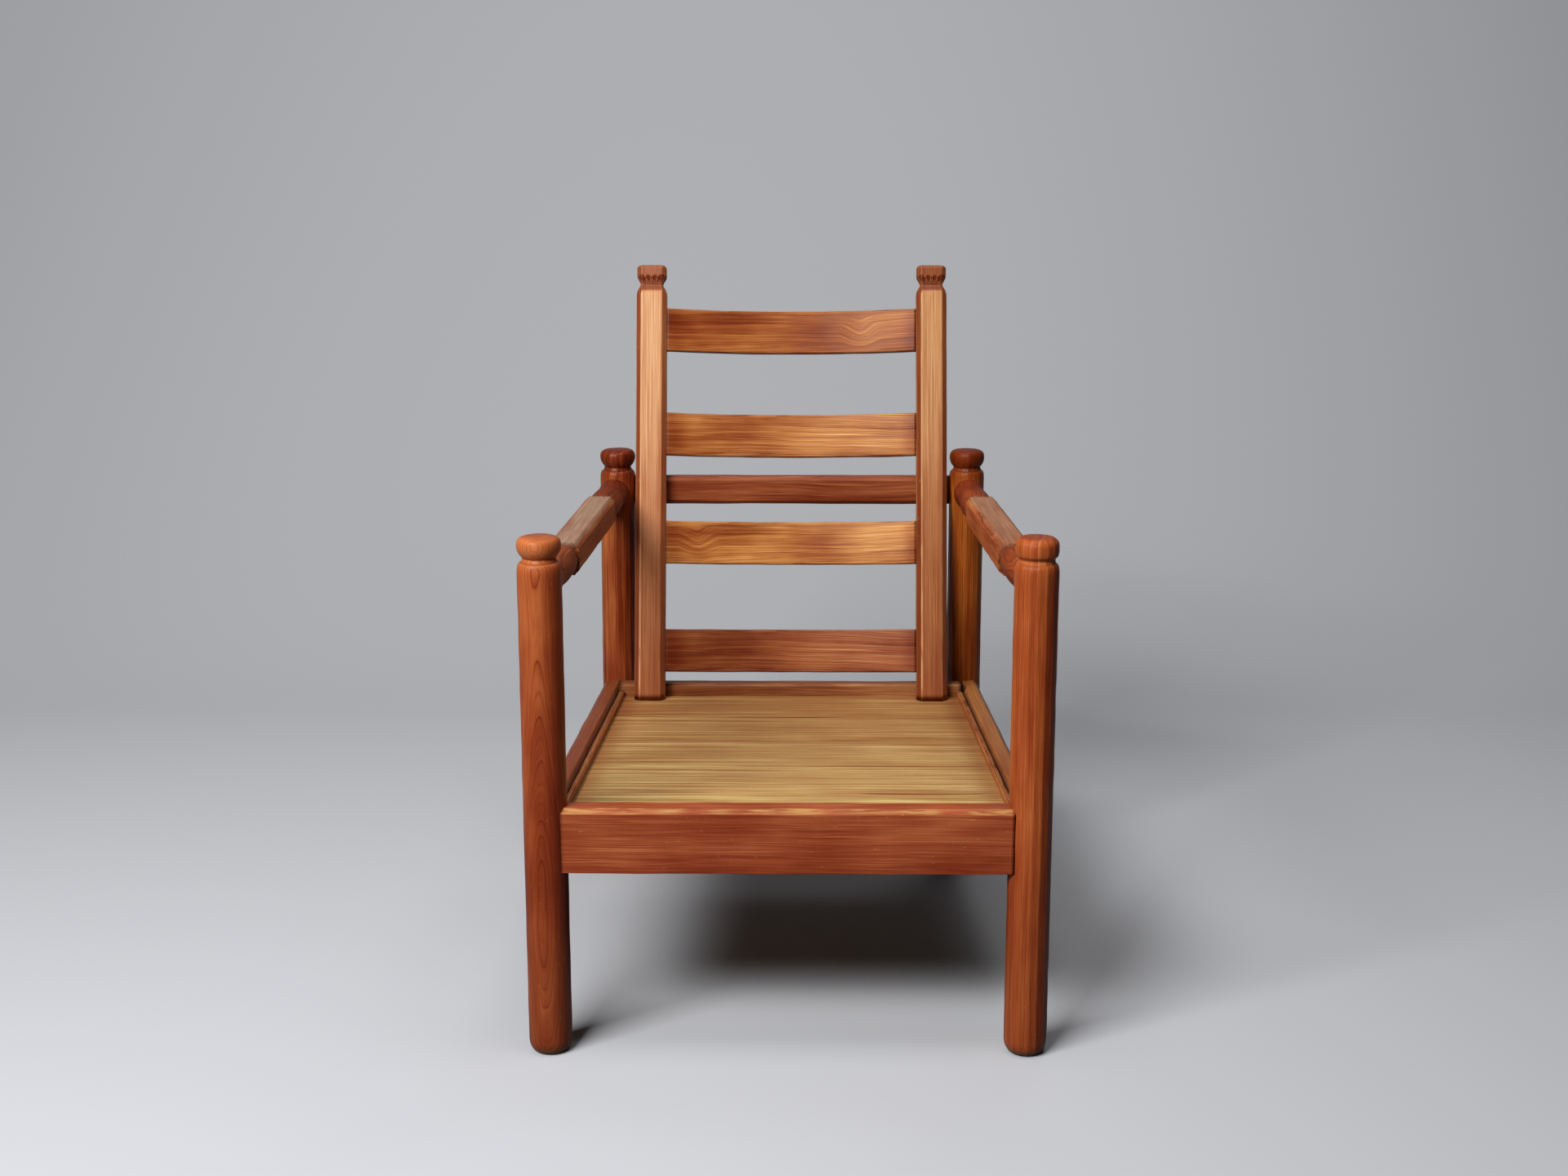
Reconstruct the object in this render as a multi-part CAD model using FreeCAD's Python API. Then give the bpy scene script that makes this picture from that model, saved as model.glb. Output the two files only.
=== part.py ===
import FreeCAD, Part
import math
import os

from FreeCAD import Placement, Rotation, Vector

os.makedirs("parts", exist_ok=True)

# All sizes are in millimetres. The chair faces -Y, +Z is up and the floor is z = 0.

# Plan of the frame, between the centre lines of the posts
front_spacing = 596.0
rear_spacing = 531.0
frame_depth = 690.0

# Fits
joint_gap = 0.1  # glue room around tenons and at their shoulders
board_gap = 0.5  # between planks, and from planks to rails
rest_gap = 0.3  # between the loose back and what it rests on
peg_clearance = 0.08  # radial, foot pegs in the seat board

# Posts
post_height = 658.0
front_post_radius = 27.0
rear_post_radius = 25.0
foot_radius_cut = 10.0  # how much smaller than the post the foot's flat is
foot_round = 18.0  # height of the foot's rounding
finial_drop = 26.5  # from the post's top to the middle of the neck
finial_round = 12.0  # rounding of the finial's top edge
neck_depth = 5.5
neck_flat = 4.0
shoulder_round = 7.0  # height of the post's rounding below the neck

# Arms and their bells
arm_drop = 63.5  # from the post's top to the arm's axis
arm_width = 44.0
arm_height = 42.0
arm_chamfer = 7.0
bell_length = 170.0  # from the post's centre to the middle of the groove
knob_start_radius = 21.0  # the bell's knob next to the post, from the post's centre
knob_middle = 40.0
knob_radius = 24.5
waist_middle = 66.0  # between the knob and the bead
waist_radius = 20.5
bead_middle = 108.0
bead_radius = 25.5
bead_rim_radius = 21.5
groove_radius = 16.5
groove_half = 10.0  # the groove's half width, on the bell's side
beam_slope = 15.0  # length of the beam's slope down into the groove
arm_tenon_radius = 11.0

# Rails
rail_bottom = 239.0
front_rail_height = 82.5
front_rail_thickness = 30.0
front_rail_offset = 3.0  # the rail's middle is this far in front of the posts' centres
front_rail_chamfer = 6.0
side_rail_height = 65.0
side_rail_thickness = 28.0
side_rail_offset = 5.0  # the rail's middle is this far outside the posts' centres
side_rail_chamfer = 6.0
rear_rail_rise = 8.0  # above the side rails' top
rear_rail_height = 60.0
rear_rail_thickness = 24.0
rear_rail_forward = 79.0  # front face, in front of the rear posts' centres
rear_rail_chamfer = 3.0
rear_tenon_depth = 12.0
cross_rail_height = 43.0
cross_rail_thickness = 22.0
cross_rail_setback = 1.5  # front face, behind the rear posts' centres
cross_rail_chamfer = 6.0

# Rail tenons
tenon_thickness = 10.0
tenon_shoulder = 11.0  # rail left above and below its tenon
cross_tenon_shoulder = 8.0
tenon_stop = 4.0  # tenons end this far short of a post's centre
tenon_root = 8.0  # length of a tenon inside its own rail

# Seat board, with its ledgers, screws and cleats
board_drop = 10.0  # below the side rails' top
board_thickness = 20.0
plank_names = ["front", "middle_front", "middle", "middle_rear", "rear"]
post_notch_gap = 1.0
ledger_width = 22.0
ledger_height = 22.0
screw_count = 4  # in each ledger
screw_margin = 75.0  # from a ledger's ends to its outer screws
screw_length = 38.0
screw_radius = 2.0
screw_head_radius = 4.0
screw_head_depth = 3.0
cleat_width = 8.5
cleat_height = 8.0
cleat_gap = 1.0
cleat_chamfer = 2.0

# Back: stiles, slats and foot pegs, measured along the leaning stiles
stile_inset = 54.0  # stile's centre line inside the rear post's
stile_width = 45.5
stile_thickness = 26.0
stile_length = 659.0
stile_front_chamfer = 7.0
stile_back_chamfer = 5.0
stile_neck_drop = 31.0  # from the stile's top to the middle of the neck
stile_neck_depth = 5.8
stile_neck_below = 9.0
stile_neck_above = 13.0
stile_finial_cut = 2.0  # how far the finial's sides stand inside the stile's
stile_top_corner = 10.0  # height of the finial's sloping top edge
stile_top_inset = 7.0  # width of the same edge
slat_height = 64.5
slat_thickness = 14.0
slat_bow = 28.0
slat_inset = 7.0  # slat's end behind the stile's front
bottom_slat_rise = 43.7  # bottom slat above the board
lower_slat_drop = 17.2  # lower slat below the cross rail
upper_slat_rise = 37.2  # upper slat above the cross rail
top_slat_drop = 25.5  # top slat below the stile's shoulder
slat_tenon_depth = 16.0
slat_tenon_thickness = 7.0
slat_tenon_shoulder = 9.0
peg_radius = 6.0
peg_reach = 17.0  # into the seat board
peg_grip = 35.0  # into the stile

# Levels
arm_level = post_height - arm_drop
side_rail_top = rail_bottom + side_rail_height
front_rail_top = rail_bottom + front_rail_height
rear_rail_top = side_rail_top + rear_rail_rise
board_top = side_rail_top - board_drop
board_bottom = board_top - board_thickness

# The back's lean: it rests on the front arrises of the rear rail and the cross rail
lean_run = rear_rail_forward + cross_rail_setback
lean_rise = arm_level + cross_rail_height / 2 - cross_rail_chamfer - (rear_rail_top - rear_rail_chamfer)
lean = math.atan2(lean_run, lean_rise)
rear_rail_front = frame_depth - rear_rail_forward
arris_height = rear_rail_top - rear_rail_chamfer - board_top
stile_back_at_board = rear_rail_front - arris_height * math.tan(lean) - rest_gap / math.cos(lean)
foot_setback = stile_back_at_board - stile_thickness / math.cos(lean)

# The origin is on the floor, under the middle of the chair's depth
stile_shoulder = stile_length - stile_neck_drop - stile_neck_below
slat_reach = slat_inset + slat_bow + slat_thickness
finial_back = (stile_length - stile_top_corner) * math.sin(lean)
finial_back += (stile_thickness - stile_finial_cut) * math.cos(lean)
slat_back = (stile_shoulder - top_slat_drop) * math.sin(lean) + slat_reach * math.cos(lean)
rearmost = foot_setback + max(finial_back, slat_back)
front_y = (front_post_radius - rearmost) / 2
rear_y = front_y + frame_depth
rail_back_y = front_y - front_rail_offset + front_rail_thickness / 2
rear_rail_y = front_y + rear_rail_front

# The left side's own frame: x runs from the front post to the rear post, y points outwards
side_taper = (front_spacing - rear_spacing) / 2
side_length = math.hypot(frame_depth, side_taper)
side_turn = math.degrees(math.atan2(frame_depth, side_taper))
left_side = Placement(Vector(-front_spacing / 2, front_y, 0), Rotation(Vector(0, 0, 1), side_turn))
rail_inner = side_rail_offset - side_rail_thickness / 2
rail_outer = side_rail_offset + side_rail_thickness / 2

# The back's own frame: z runs up the stiles' front, y points backwards
leaning = Placement(
    Vector(0, front_y + foot_setback, board_top), Rotation(Vector(1, 0, 0), -math.degrees(lean))
)
stile_x = rear_spacing / 2 - stile_inset
stile_inner_x = stile_x - stile_width / 2
far = 2 * (front_spacing + frame_depth)


def box(x0, x1, y0, y1, z0, z1):
    return Part.makeBox(x1 - x0, y1 - y0, z1 - z0, Vector(x0, y0, z0))


def prism(points, run):
    return Part.Face(Part.makePolygon(points + points[:1])).extrude(run)


def placed(shape, placement):
    return shape.transformed(placement.toMatrix(), True)


def mirrored(shape):
    return shape.mirror(Vector(0, 0, 0), Vector(1, 0, 0))


def joined(body, additions):
    return body.multiFuse(additions).removeSplitter()


def export(shape, name):
    if not shape.isValid():
        raise ValueError(name + " is not a valid shape")
    shape.exportStep("parts/" + name + ".step")
    print(name, len(shape.Solids), "solid(s)", round(shape.Volume / 1000, 1), "cm3")


def export_pair(left_shape, name):
    export(left_shape, "left_" + name)
    export(mirrored(left_shape), "right_" + name)


def chamfered(y0, y1, z0, z1, front_low, front_high, back_low, back_high):
    """Rectangle in the YZ plane, with its own chamfer on each corner."""
    corners = [
        (y0 + front_low, z0),
        (y1 - back_low, z0),
        (y1, z0 + back_low),
        (y1, z1 - back_high),
        (y1 - back_high, z1),
        (y0 + front_high, z1),
        (y0, z1 - front_high),
        (y0, z0 + front_low),
    ]
    kept = []
    for corner in corners:
        if corner not in kept:
            kept.append(corner)
    return kept


def bar_along_x(section, x0, x1):
    return prism([Vector(x0, y, z) for y, z in section], Vector(x1 - x0, 0, 0))


def post_at(x, y, radius):
    """Plain cylinder where a post stands, used to cope what meets it."""
    return Part.makeCylinder(radius, post_height, Vector(x, y, 0))


def rounding(side, flat):
    """Arc that leaves a straight side and turns in to a flat end."""
    across = side[0] - flat[0]
    rise = flat[1] - side[1]
    radius = (across ** 2 + rise ** 2) / (2 * across)
    half_turn = math.atan2(rise, radius - across) / 2
    middle = (
        side[0] - radius * (1 - math.cos(half_turn)),
        side[1] + radius * math.sin(half_turn),
    )
    return Part.Arc(*[Vector(r, 0, z) for r, z in (side, middle, flat)]).toShape()


def turned_post(radius):
    """Post with a rounded foot, a neck and a round finial, standing at the origin."""
    neck_middle = post_height - finial_drop
    foot_flat = (radius - foot_radius_cut, 0.0)
    foot_side = (radius, foot_round)
    shoulder = (radius, neck_middle - neck_flat / 2 - shoulder_round)
    neck_low = (radius - neck_depth, neck_middle - neck_flat / 2)
    neck_high = (radius - neck_depth, neck_middle + neck_flat / 2)
    finial_side = (radius, post_height - finial_round)
    finial_flat = (radius - finial_round, post_height)
    finial_centre = (0.0, post_height)
    foot_centre = (0.0, 0.0)
    arcs = [
        (foot_side, foot_flat),
        (shoulder, neck_low),
        (finial_side, neck_high),
        (finial_side, finial_flat),
    ]
    lines = [
        (foot_side, shoulder),
        (neck_low, neck_high),
        (finial_flat, finial_centre),
        (finial_centre, foot_centre),
        (foot_centre, foot_flat),
    ]
    edges = [rounding(side, flat) for side, flat in arcs]
    for start, end in lines:
        edges.append(Part.makeLine(Vector(start[0], 0, start[1]), Vector(end[0], 0, end[1])))
    outline = Part.Wire(Part.__sortEdges__(edges))
    return Part.Face(outline).revolve(Vector(0, 0, 0), Vector(0, 0, 1), 360)


def arm_tenons(grow):
    """Round tenons of the left arm, in the left side's frame: front, rear."""
    reach = front_post_radius + tenon_root - tenon_stop + grow
    front = Part.makeCylinder(
        arm_tenon_radius + grow, reach, Vector(tenon_stop - grow, 0, arm_level), Vector(1, 0, 0)
    )
    reach = rear_post_radius + tenon_root - tenon_stop + grow
    rear_end = side_length - tenon_stop + grow
    rear = Part.makeCylinder(
        arm_tenon_radius + grow, reach, Vector(rear_end, 0, arm_level), Vector(-1, 0, 0)
    )
    return [front, rear]


def side_rail_tenons(grow):
    """Tenons of the left side rail, in the left side's frame: front, rear."""
    y0 = side_rail_offset - tenon_thickness / 2 - grow
    y1 = side_rail_offset + tenon_thickness / 2 + grow
    z0 = rail_bottom + tenon_shoulder - grow
    z1 = side_rail_top - tenon_shoulder + grow
    front = box(tenon_stop - grow, front_post_radius + tenon_root, y0, y1, z0, z1)
    rear_start = side_length - rear_post_radius - tenon_root
    rear = box(rear_start, side_length - tenon_stop + grow, y0, y1, z0, z1)
    return [front, rear]


def front_rail_tenon(grow):
    """Left tenon of the front rail."""
    middle = front_y - front_rail_offset
    x0 = -front_spacing / 2 + tenon_stop - grow
    x1 = -front_spacing / 2 + front_post_radius + tenon_root
    y0 = middle - tenon_thickness / 2 - grow
    y1 = middle + tenon_thickness / 2 + grow
    return box(
        x0, x1, y0, y1, rail_bottom + tenon_shoulder - grow, front_rail_top - tenon_shoulder + grow
    )


def cross_rail_tenon(grow):
    """Left tenon of the rear cross rail."""
    middle = rear_y + cross_rail_setback + cross_rail_thickness / 2
    half = cross_rail_height / 2 - cross_tenon_shoulder + grow
    x0 = -rear_spacing / 2 + tenon_stop - grow
    x1 = -rear_spacing / 2 + rear_post_radius + tenon_root
    y0 = middle - tenon_thickness / 2 - grow
    y1 = middle + tenon_thickness / 2 + grow
    return box(x0, x1, y0, y1, arm_level - half, arm_level + half)


def bay(margin, z0, z1):
    """Space between the side rails' inner faces, drawn in by a margin."""
    left = [
        left_side.multVec(Vector(0, rail_inner - margin, z0)),
        left_side.multVec(Vector(side_length, rail_inner - margin, z0)),
    ]
    right = [Vector(-corner.x, corner.y, corner.z) for corner in reversed(left)]
    return prism(left + right, Vector(0, 0, z1 - z0))


def rear_rail_tenon(grow):
    """The rear rail's tenons, as one bar that runs into both side rails."""
    middle = rear_rail_y + rear_rail_thickness / 2
    z0 = rear_rail_top - rear_rail_height + tenon_shoulder - grow
    z1 = side_rail_top - tenon_shoulder + grow
    y0 = middle - tenon_thickness / 2 - grow
    y1 = middle + tenon_thickness / 2 + grow
    return box(-far, far, y0, y1, z0, z1).common(bay(-rear_tenon_depth - grow, z0, z1))


def left_front_post():
    post = turned_post(front_post_radius).translated(Vector(-front_spacing / 2, front_y, 0))
    mortises = [placed(arm_tenons(joint_gap)[0], left_side)]
    mortises.append(placed(side_rail_tenons(joint_gap)[0], left_side))
    mortises.append(front_rail_tenon(joint_gap))
    return post.cut(mortises)


def left_rear_post():
    post = turned_post(rear_post_radius).translated(Vector(-rear_spacing / 2, rear_y, 0))
    mortises = [placed(arm_tenons(joint_gap)[1], left_side)]
    mortises.append(placed(side_rail_tenons(joint_gap)[1], left_side))
    mortises.append(cross_rail_tenon(joint_gap))
    return post.cut(mortises)


def coped_to_posts(shape):
    """Left side's piece, cut to the round of both posts in its own frame."""
    front = post_at(0, 0, front_post_radius + joint_gap)
    rear = post_at(side_length, 0, rear_post_radius + joint_gap)
    return shape.cut([front, rear])


def bell(start, direction):
    """Round end of the arm: a knob at the post, a waist, a bead and half of the groove."""

    def at(x, radius):
        return Vector(start + direction * x, 0, arm_level + radius)

    knob_start = at(0, knob_start_radius)
    waist = at(waist_middle, waist_radius)
    rim = at(bell_length - groove_half, bead_rim_radius)
    groove = at(bell_length, groove_radius)
    edges = [
        Part.Arc(knob_start, at(knob_middle, knob_radius), waist).toShape(),
        Part.Arc(waist, at(bead_middle, bead_radius), rim).toShape(),
        Part.makeLine(rim, groove),
        Part.makeLine(groove, at(bell_length, 0)),
        Part.makeLine(at(bell_length, 0), at(0, 0)),
        Part.makeLine(at(0, 0), knob_start),
    ]
    outline = Part.Face(Part.Wire(Part.__sortEdges__(edges)))
    return outline.revolve(Vector(0, 0, arm_level), Vector(1, 0, 0), 360)


def left_arm():
    half_width = arm_width / 2
    section = chamfered(
        -half_width,
        half_width,
        arm_level - arm_height / 2,
        arm_level + arm_height / 2,
        arm_chamfer,
        arm_chamfer,
        arm_chamfer,
        arm_chamfer,
    )
    beam_start = bell_length
    beam_end = side_length - bell_length
    corner_radius = math.hypot(arm_width, arm_height) / 2
    ends = [
        (beam_start, 0.0),
        (beam_start, groove_radius),
        (beam_start + beam_slope, corner_radius),
        (beam_end - beam_slope, corner_radius),
        (beam_end, groove_radius),
        (beam_end, 0.0),
    ]
    points = [Vector(x, 0, arm_level + r) for x, r in ends]
    sloped = Part.Face(Part.makePolygon(points + points[:1]))
    sloped = sloped.revolve(Vector(0, 0, arm_level), Vector(1, 0, 0), 360)
    beam = bar_along_x(section, beam_start, beam_end).common(sloped)
    bells = [coped_to_posts(bell(0, 1)), coped_to_posts(bell(side_length, -1))]
    return placed(joined(beam, bells + arm_tenons(0)), left_side)


def left_side_rail():
    section = chamfered(
        rail_inner, rail_outer, rail_bottom, side_rail_top, 0, side_rail_chamfer, 0, side_rail_chamfer
    )
    rail = coped_to_posts(bar_along_x(section, 0, side_length))
    rail = placed(joined(rail, side_rail_tenons(0)), left_side)
    cuts = [rear_rail_tenon(joint_gap)]
    for hole in ledger_screw_shapes(joint_gap):
        cuts.append(placed(hole, left_side))
    return rail.cut(cuts)


def front_rail():
    middle = front_y - front_rail_offset
    half = front_rail_thickness / 2
    section = chamfered(
        middle - half, middle + half, rail_bottom, front_rail_top, 0, front_rail_chamfer, 0, 0
    )
    x = front_spacing / 2
    radius = front_post_radius + joint_gap
    rail = bar_along_x(section, -x, x).cut([post_at(-x, front_y, radius), post_at(x, front_y, radius)])
    tenon = front_rail_tenon(0)
    return joined(rail, [tenon, mirrored(tenon)])


def rear_rail():
    z0 = rear_rail_top - rear_rail_height
    y1 = rear_rail_y + rear_rail_thickness
    chamfer = rear_rail_chamfer
    section = chamfered(rear_rail_y, y1, z0, rear_rail_top, 0, chamfer, 0, chamfer)
    rail = bar_along_x(section, -far, far).common(bay(joint_gap, z0, rear_rail_top))
    return joined(rail, [rear_rail_tenon(0)])


def rear_cross_rail():
    y0 = rear_y + cross_rail_setback
    half = cross_rail_height / 2
    chamfer = cross_rail_chamfer
    section = chamfered(
        y0,
        y0 + cross_rail_thickness,
        arm_level - half,
        arm_level + half,
        chamfer,
        chamfer,
        chamfer,
        chamfer,
    )
    x = rear_spacing / 2
    radius = rear_post_radius + joint_gap
    rail = bar_along_x(section, -x, x).cut([post_at(-x, rear_y, radius), post_at(x, rear_y, radius)])
    tenon = cross_rail_tenon(0)
    return joined(rail, [tenon, mirrored(tenon)])


def seat_strip(width, gap, z0, z1, chamfer):
    """Strip along the left side rail, from the front rail to the rear rail."""
    y1 = rail_inner - gap
    section = chamfered(y1 - width, y1, z0, z1, 0, chamfer, 0, chamfer)
    strip = bar_along_x(section, 0, side_length)
    strip = placed(strip.cut(post_at(0, 0, front_post_radius + post_notch_gap)), left_side)
    return strip.common(
        box(-far, far, rail_back_y + joint_gap, rear_rail_y - joint_gap, z0 - joint_gap, z1 + joint_gap)
    )


def ledger_screw_shapes(grow):
    """Countersunk screws through the left ledger, in the left side's frame."""
    start = rail_back_y - front_y + screw_margin
    end = rear_rail_front - screw_margin
    level = board_bottom - ledger_height / 2
    face = rail_inner - joint_gap - ledger_width
    head = screw_head_radius + grow
    shank = screw_radius + grow
    outline = [
        (0.0, 0.0),
        (0.0, head),
        (screw_head_depth, shank),
        (screw_length + grow, shank),
        (screw_length + grow, 0.0),
    ]
    screws = []
    for index in range(screw_count):
        x = start + (end - start) * index / (screw_count - 1)
        points = [Vector(x, face + y, level + r) for y, r in outline]
        profile = Part.Face(Part.makePolygon(points + points[:1]))
        screws.append(profile.revolve(Vector(x, face, level), Vector(0, 1, 0), 360))
    return screws


def left_ledger():
    top = board_bottom - joint_gap
    ledger = seat_strip(ledger_width, joint_gap, top - ledger_height, top, 0)
    return ledger.cut([placed(hole, left_side) for hole in ledger_screw_shapes(joint_gap)])


def left_cleat():
    z0 = board_top + joint_gap
    return seat_strip(cleat_width, cleat_gap, z0, z0 + cleat_height, cleat_chamfer)


def left_peg(clearance):
    """Foot peg of the left stile, along the stile and through the seat board's top."""
    crossing = stile_thickness / 2 * math.tan(lean)
    start = Vector(-stile_x, stile_thickness / 2, crossing - peg_reach - clearance)
    length = peg_reach + peg_grip + 2 * clearance
    return placed(Part.makeCylinder(peg_radius + clearance, length, start), leaning)


def left_peg_hole():
    """Hole for the left peg, right through the seat board."""
    drop = 2 * board_thickness
    start = Vector(-stile_x, stile_thickness / 2, -drop)
    return placed(Part.makeCylinder(peg_radius + peg_clearance, 2 * drop, start), leaning)


def seat_planks():
    """Planks from front to rear, notched round the front posts and bored for the pegs."""
    start = rail_back_y + board_gap
    end = rear_rail_y - board_gap
    count = len(plank_names)
    width = (end - start - board_gap * (count - 1)) / count
    room = bay(board_gap, board_bottom, board_top)
    notch = post_at(-front_spacing / 2, front_y, front_post_radius + post_notch_gap)
    cuts = [notch, mirrored(notch), left_peg_hole(), mirrored(left_peg_hole())]
    planks = []
    for index in range(count):
        y0 = start + index * (width + board_gap)
        plank = box(-far, far, y0, y0 + width, board_bottom, board_top)
        planks.append(plank.common(room).cut(cuts))
    return planks


def slat_levels():
    """Lower edges of the slats along the stiles, from the bottom slat up."""
    rail_middle = (arm_level - board_top) / math.cos(lean)
    rail_half = cross_rail_height / 2 / math.cos(lean)
    return [
        bottom_slat_rise,
        rail_middle - rail_half - lower_slat_drop - slat_height,
        rail_middle + rail_half + upper_slat_rise,
        stile_shoulder - top_slat_drop - slat_height,
    ]


def slat_tenon(level, grow):
    """Left tenon of a slat, in the back's frame."""
    y0 = slat_inset + (slat_thickness - slat_tenon_thickness) / 2 - grow
    z0 = level + slat_tenon_shoulder - grow
    z1 = level + slat_height - slat_tenon_shoulder + grow
    x0 = -stile_inner_x - slat_tenon_depth - grow
    return box(x0, -stile_inner_x + tenon_root, y0, y0 + slat_tenon_thickness + 2 * grow, z0, z1)


def bowed_slat(level):
    """Slat bowed backwards between the stiles, with a tenon at each end."""
    half = stile_inner_x - joint_gap
    edges = []
    for depth in (slat_inset, slat_inset + slat_thickness):
        ends = [Vector(-half, depth, level), Vector(half, depth, level)]
        edges.append(Part.Arc(ends[0], Vector(0, depth + slat_bow, level), ends[1]).toShape())
    for x in (-half, half):
        start = Vector(x, slat_inset, level)
        edges.append(Part.makeLine(start, start + Vector(0, slat_thickness, 0)))
    outline = Part.Face(Part.Wire(Part.__sortEdges__(edges)))
    slat = outline.extrude(Vector(0, 0, slat_height))
    tenon = slat_tenon(level, 0)
    return placed(joined(slat, [tenon, mirrored(tenon)]), leaning)


def left_stile():
    """Chamfered stile with a carved finial, cut level where it stands on the board."""
    x0 = -stile_x - stile_width / 2
    x1 = -stile_x + stile_width / 2
    below = -2 * stile_thickness
    neck = stile_length - stile_neck_drop
    edge = [
        (0.0, below),
        (0.0, stile_shoulder),
        (stile_neck_depth, neck),
        (stile_finial_cut, neck + stile_neck_above),
        (stile_finial_cut, stile_length - stile_top_corner),
        (stile_finial_cut + stile_top_inset, stile_length),
    ]
    face = [Vector(x0 + cut, 0, z) for cut, z in edge]
    face += [Vector(x1 - cut, 0, z) for cut, z in edge[::-1]]
    side = [Vector(x0, cut, z) for cut, z in edge]
    side += [Vector(x0, stile_thickness - cut, z) for cut, z in edge[::-1]]
    front, back = stile_front_chamfer, stile_back_chamfer
    plan = [
        Vector(x0 + front, 0, below),
        Vector(x1 - front, 0, below),
        Vector(x1, front, below),
        Vector(x1, stile_thickness - back, below),
        Vector(x1 - back, stile_thickness, below),
        Vector(x0 + back, stile_thickness, below),
        Vector(x0, stile_thickness - back, below),
        Vector(x0, front, below),
    ]
    stile = prism(plan, Vector(0, 0, stile_length - below))
    stile = stile.common(prism(face, Vector(0, stile_thickness, 0)))
    stile = stile.common(prism(side, Vector(stile_width, 0, 0)))
    stile = placed(stile.cut([slat_tenon(level, joint_gap) for level in slat_levels()]), leaning)
    under = box(-far, far, -far, far, -far, board_top + rest_gap)
    return stile.cut([under, left_peg(joint_gap)])


export_pair(left_front_post(), "front_post")
export_pair(left_rear_post(), "rear_post")
export_pair(left_arm(), "arm")
export_pair(left_side_rail(), "side_rail")
export(front_rail(), "front_rail")
export(rear_rail(), "rear_rail")
export(rear_cross_rail(), "rear_cross_rail")

for plank_name, plank in zip(plank_names, seat_planks()):
    export(plank, plank_name + "_seat_plank")
export_pair(left_ledger(), "seat_ledger")
export_pair(left_cleat(), "seat_cleat")
left_screws = [placed(screw, left_side) for screw in ledger_screw_shapes(0)]
right_screws = [mirrored(screw) for screw in left_screws]
export(Part.makeCompound(left_screws + right_screws), "ledger_screws")

export_pair(left_stile(), "stile")
export_pair(left_peg(0), "foot_peg")
for slat_name, slat_level in zip(["bottom", "lower", "upper", "top"], slat_levels()):
    export(bowed_slat(slat_level), slat_name + "_slat")
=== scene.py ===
# %% [markdown]
# # A pine armchair, dressed in Blender
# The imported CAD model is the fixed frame: every piece here takes the place of one CAD node
# and stays where that node is. Lengths are in metres, the floor is z = 0 and the chair
# faces -Y. The model's box is kept, to compare it with the dressed chair's at the end.

# %% The frame
import math
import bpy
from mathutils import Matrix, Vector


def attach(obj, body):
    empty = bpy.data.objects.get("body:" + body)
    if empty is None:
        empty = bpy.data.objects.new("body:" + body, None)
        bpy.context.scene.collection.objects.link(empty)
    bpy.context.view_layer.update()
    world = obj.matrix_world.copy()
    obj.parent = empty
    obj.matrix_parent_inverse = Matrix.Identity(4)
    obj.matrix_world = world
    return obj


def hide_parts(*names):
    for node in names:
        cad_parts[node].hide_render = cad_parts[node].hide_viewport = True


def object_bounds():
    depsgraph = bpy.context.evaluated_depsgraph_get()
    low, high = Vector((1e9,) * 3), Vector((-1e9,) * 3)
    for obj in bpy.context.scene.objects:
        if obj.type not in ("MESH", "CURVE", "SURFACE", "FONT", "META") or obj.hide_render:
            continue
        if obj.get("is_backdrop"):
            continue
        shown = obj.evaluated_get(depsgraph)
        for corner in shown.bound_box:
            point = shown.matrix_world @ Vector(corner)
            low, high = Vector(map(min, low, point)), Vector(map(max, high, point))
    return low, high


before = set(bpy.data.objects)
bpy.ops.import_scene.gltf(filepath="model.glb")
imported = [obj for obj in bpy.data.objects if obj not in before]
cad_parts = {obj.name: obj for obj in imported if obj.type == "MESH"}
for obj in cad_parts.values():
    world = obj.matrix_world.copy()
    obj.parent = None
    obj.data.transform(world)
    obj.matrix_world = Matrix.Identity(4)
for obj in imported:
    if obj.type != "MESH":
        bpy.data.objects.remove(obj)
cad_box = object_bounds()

from types import SimpleNamespace

import bmesh
import bpy
from mathutils import Euler, Matrix, Vector, noise
from mathutils.geometry import interpolate_bezier

scene = bpy.context.scene
scene.view_settings.view_transform = "Standard"
print("nodes:", len(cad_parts), "box:", cad_box)

# %% [markdown]
# ## Camera
# The chair stands almost square to the camera, which looks down on it a little. The place
# and the lens were found by matching the feet, the finials and the rails of the real chair,
# so a plain perspective camera without any shift is enough.

# %% Camera
tilt_down, turn_left = 0.21606, 0.0089128
camera_data = bpy.data.cameras.new("camera")
camera_data.lens = 48.75
camera_data.sensor_width = 36.0
camera_data.sensor_fit = "HORIZONTAL"
camera = bpy.data.objects.new("camera", camera_data)
camera.location = (0.01752, -2.8639, 1.14074)
camera.rotation_euler = (math.pi / 2 - tilt_down, 0.0, turn_left)
scene.collection.objects.link(camera)
scene.camera = camera
print("camera at", tuple(round(value, 3) for value in camera.location))

# %% [markdown]
# ## Floor and light
# The real chair stands on a grey paper sweep: a floor that curves up into a wall, so no
# horizon shows. It could be a plane and a wall with a bevel between them. A wire drawn in
# profile, spun through a quarter turn and pulled sideways gives an evener curve.

# %% Paper sweep
half_width, near_edge, wall_height = 7.0, -5.0, 4.0
bend_start, bend_radius = 1.2, 1.8


def only(kind, items):
    return [item for item in items if isinstance(item, kind)]


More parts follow.
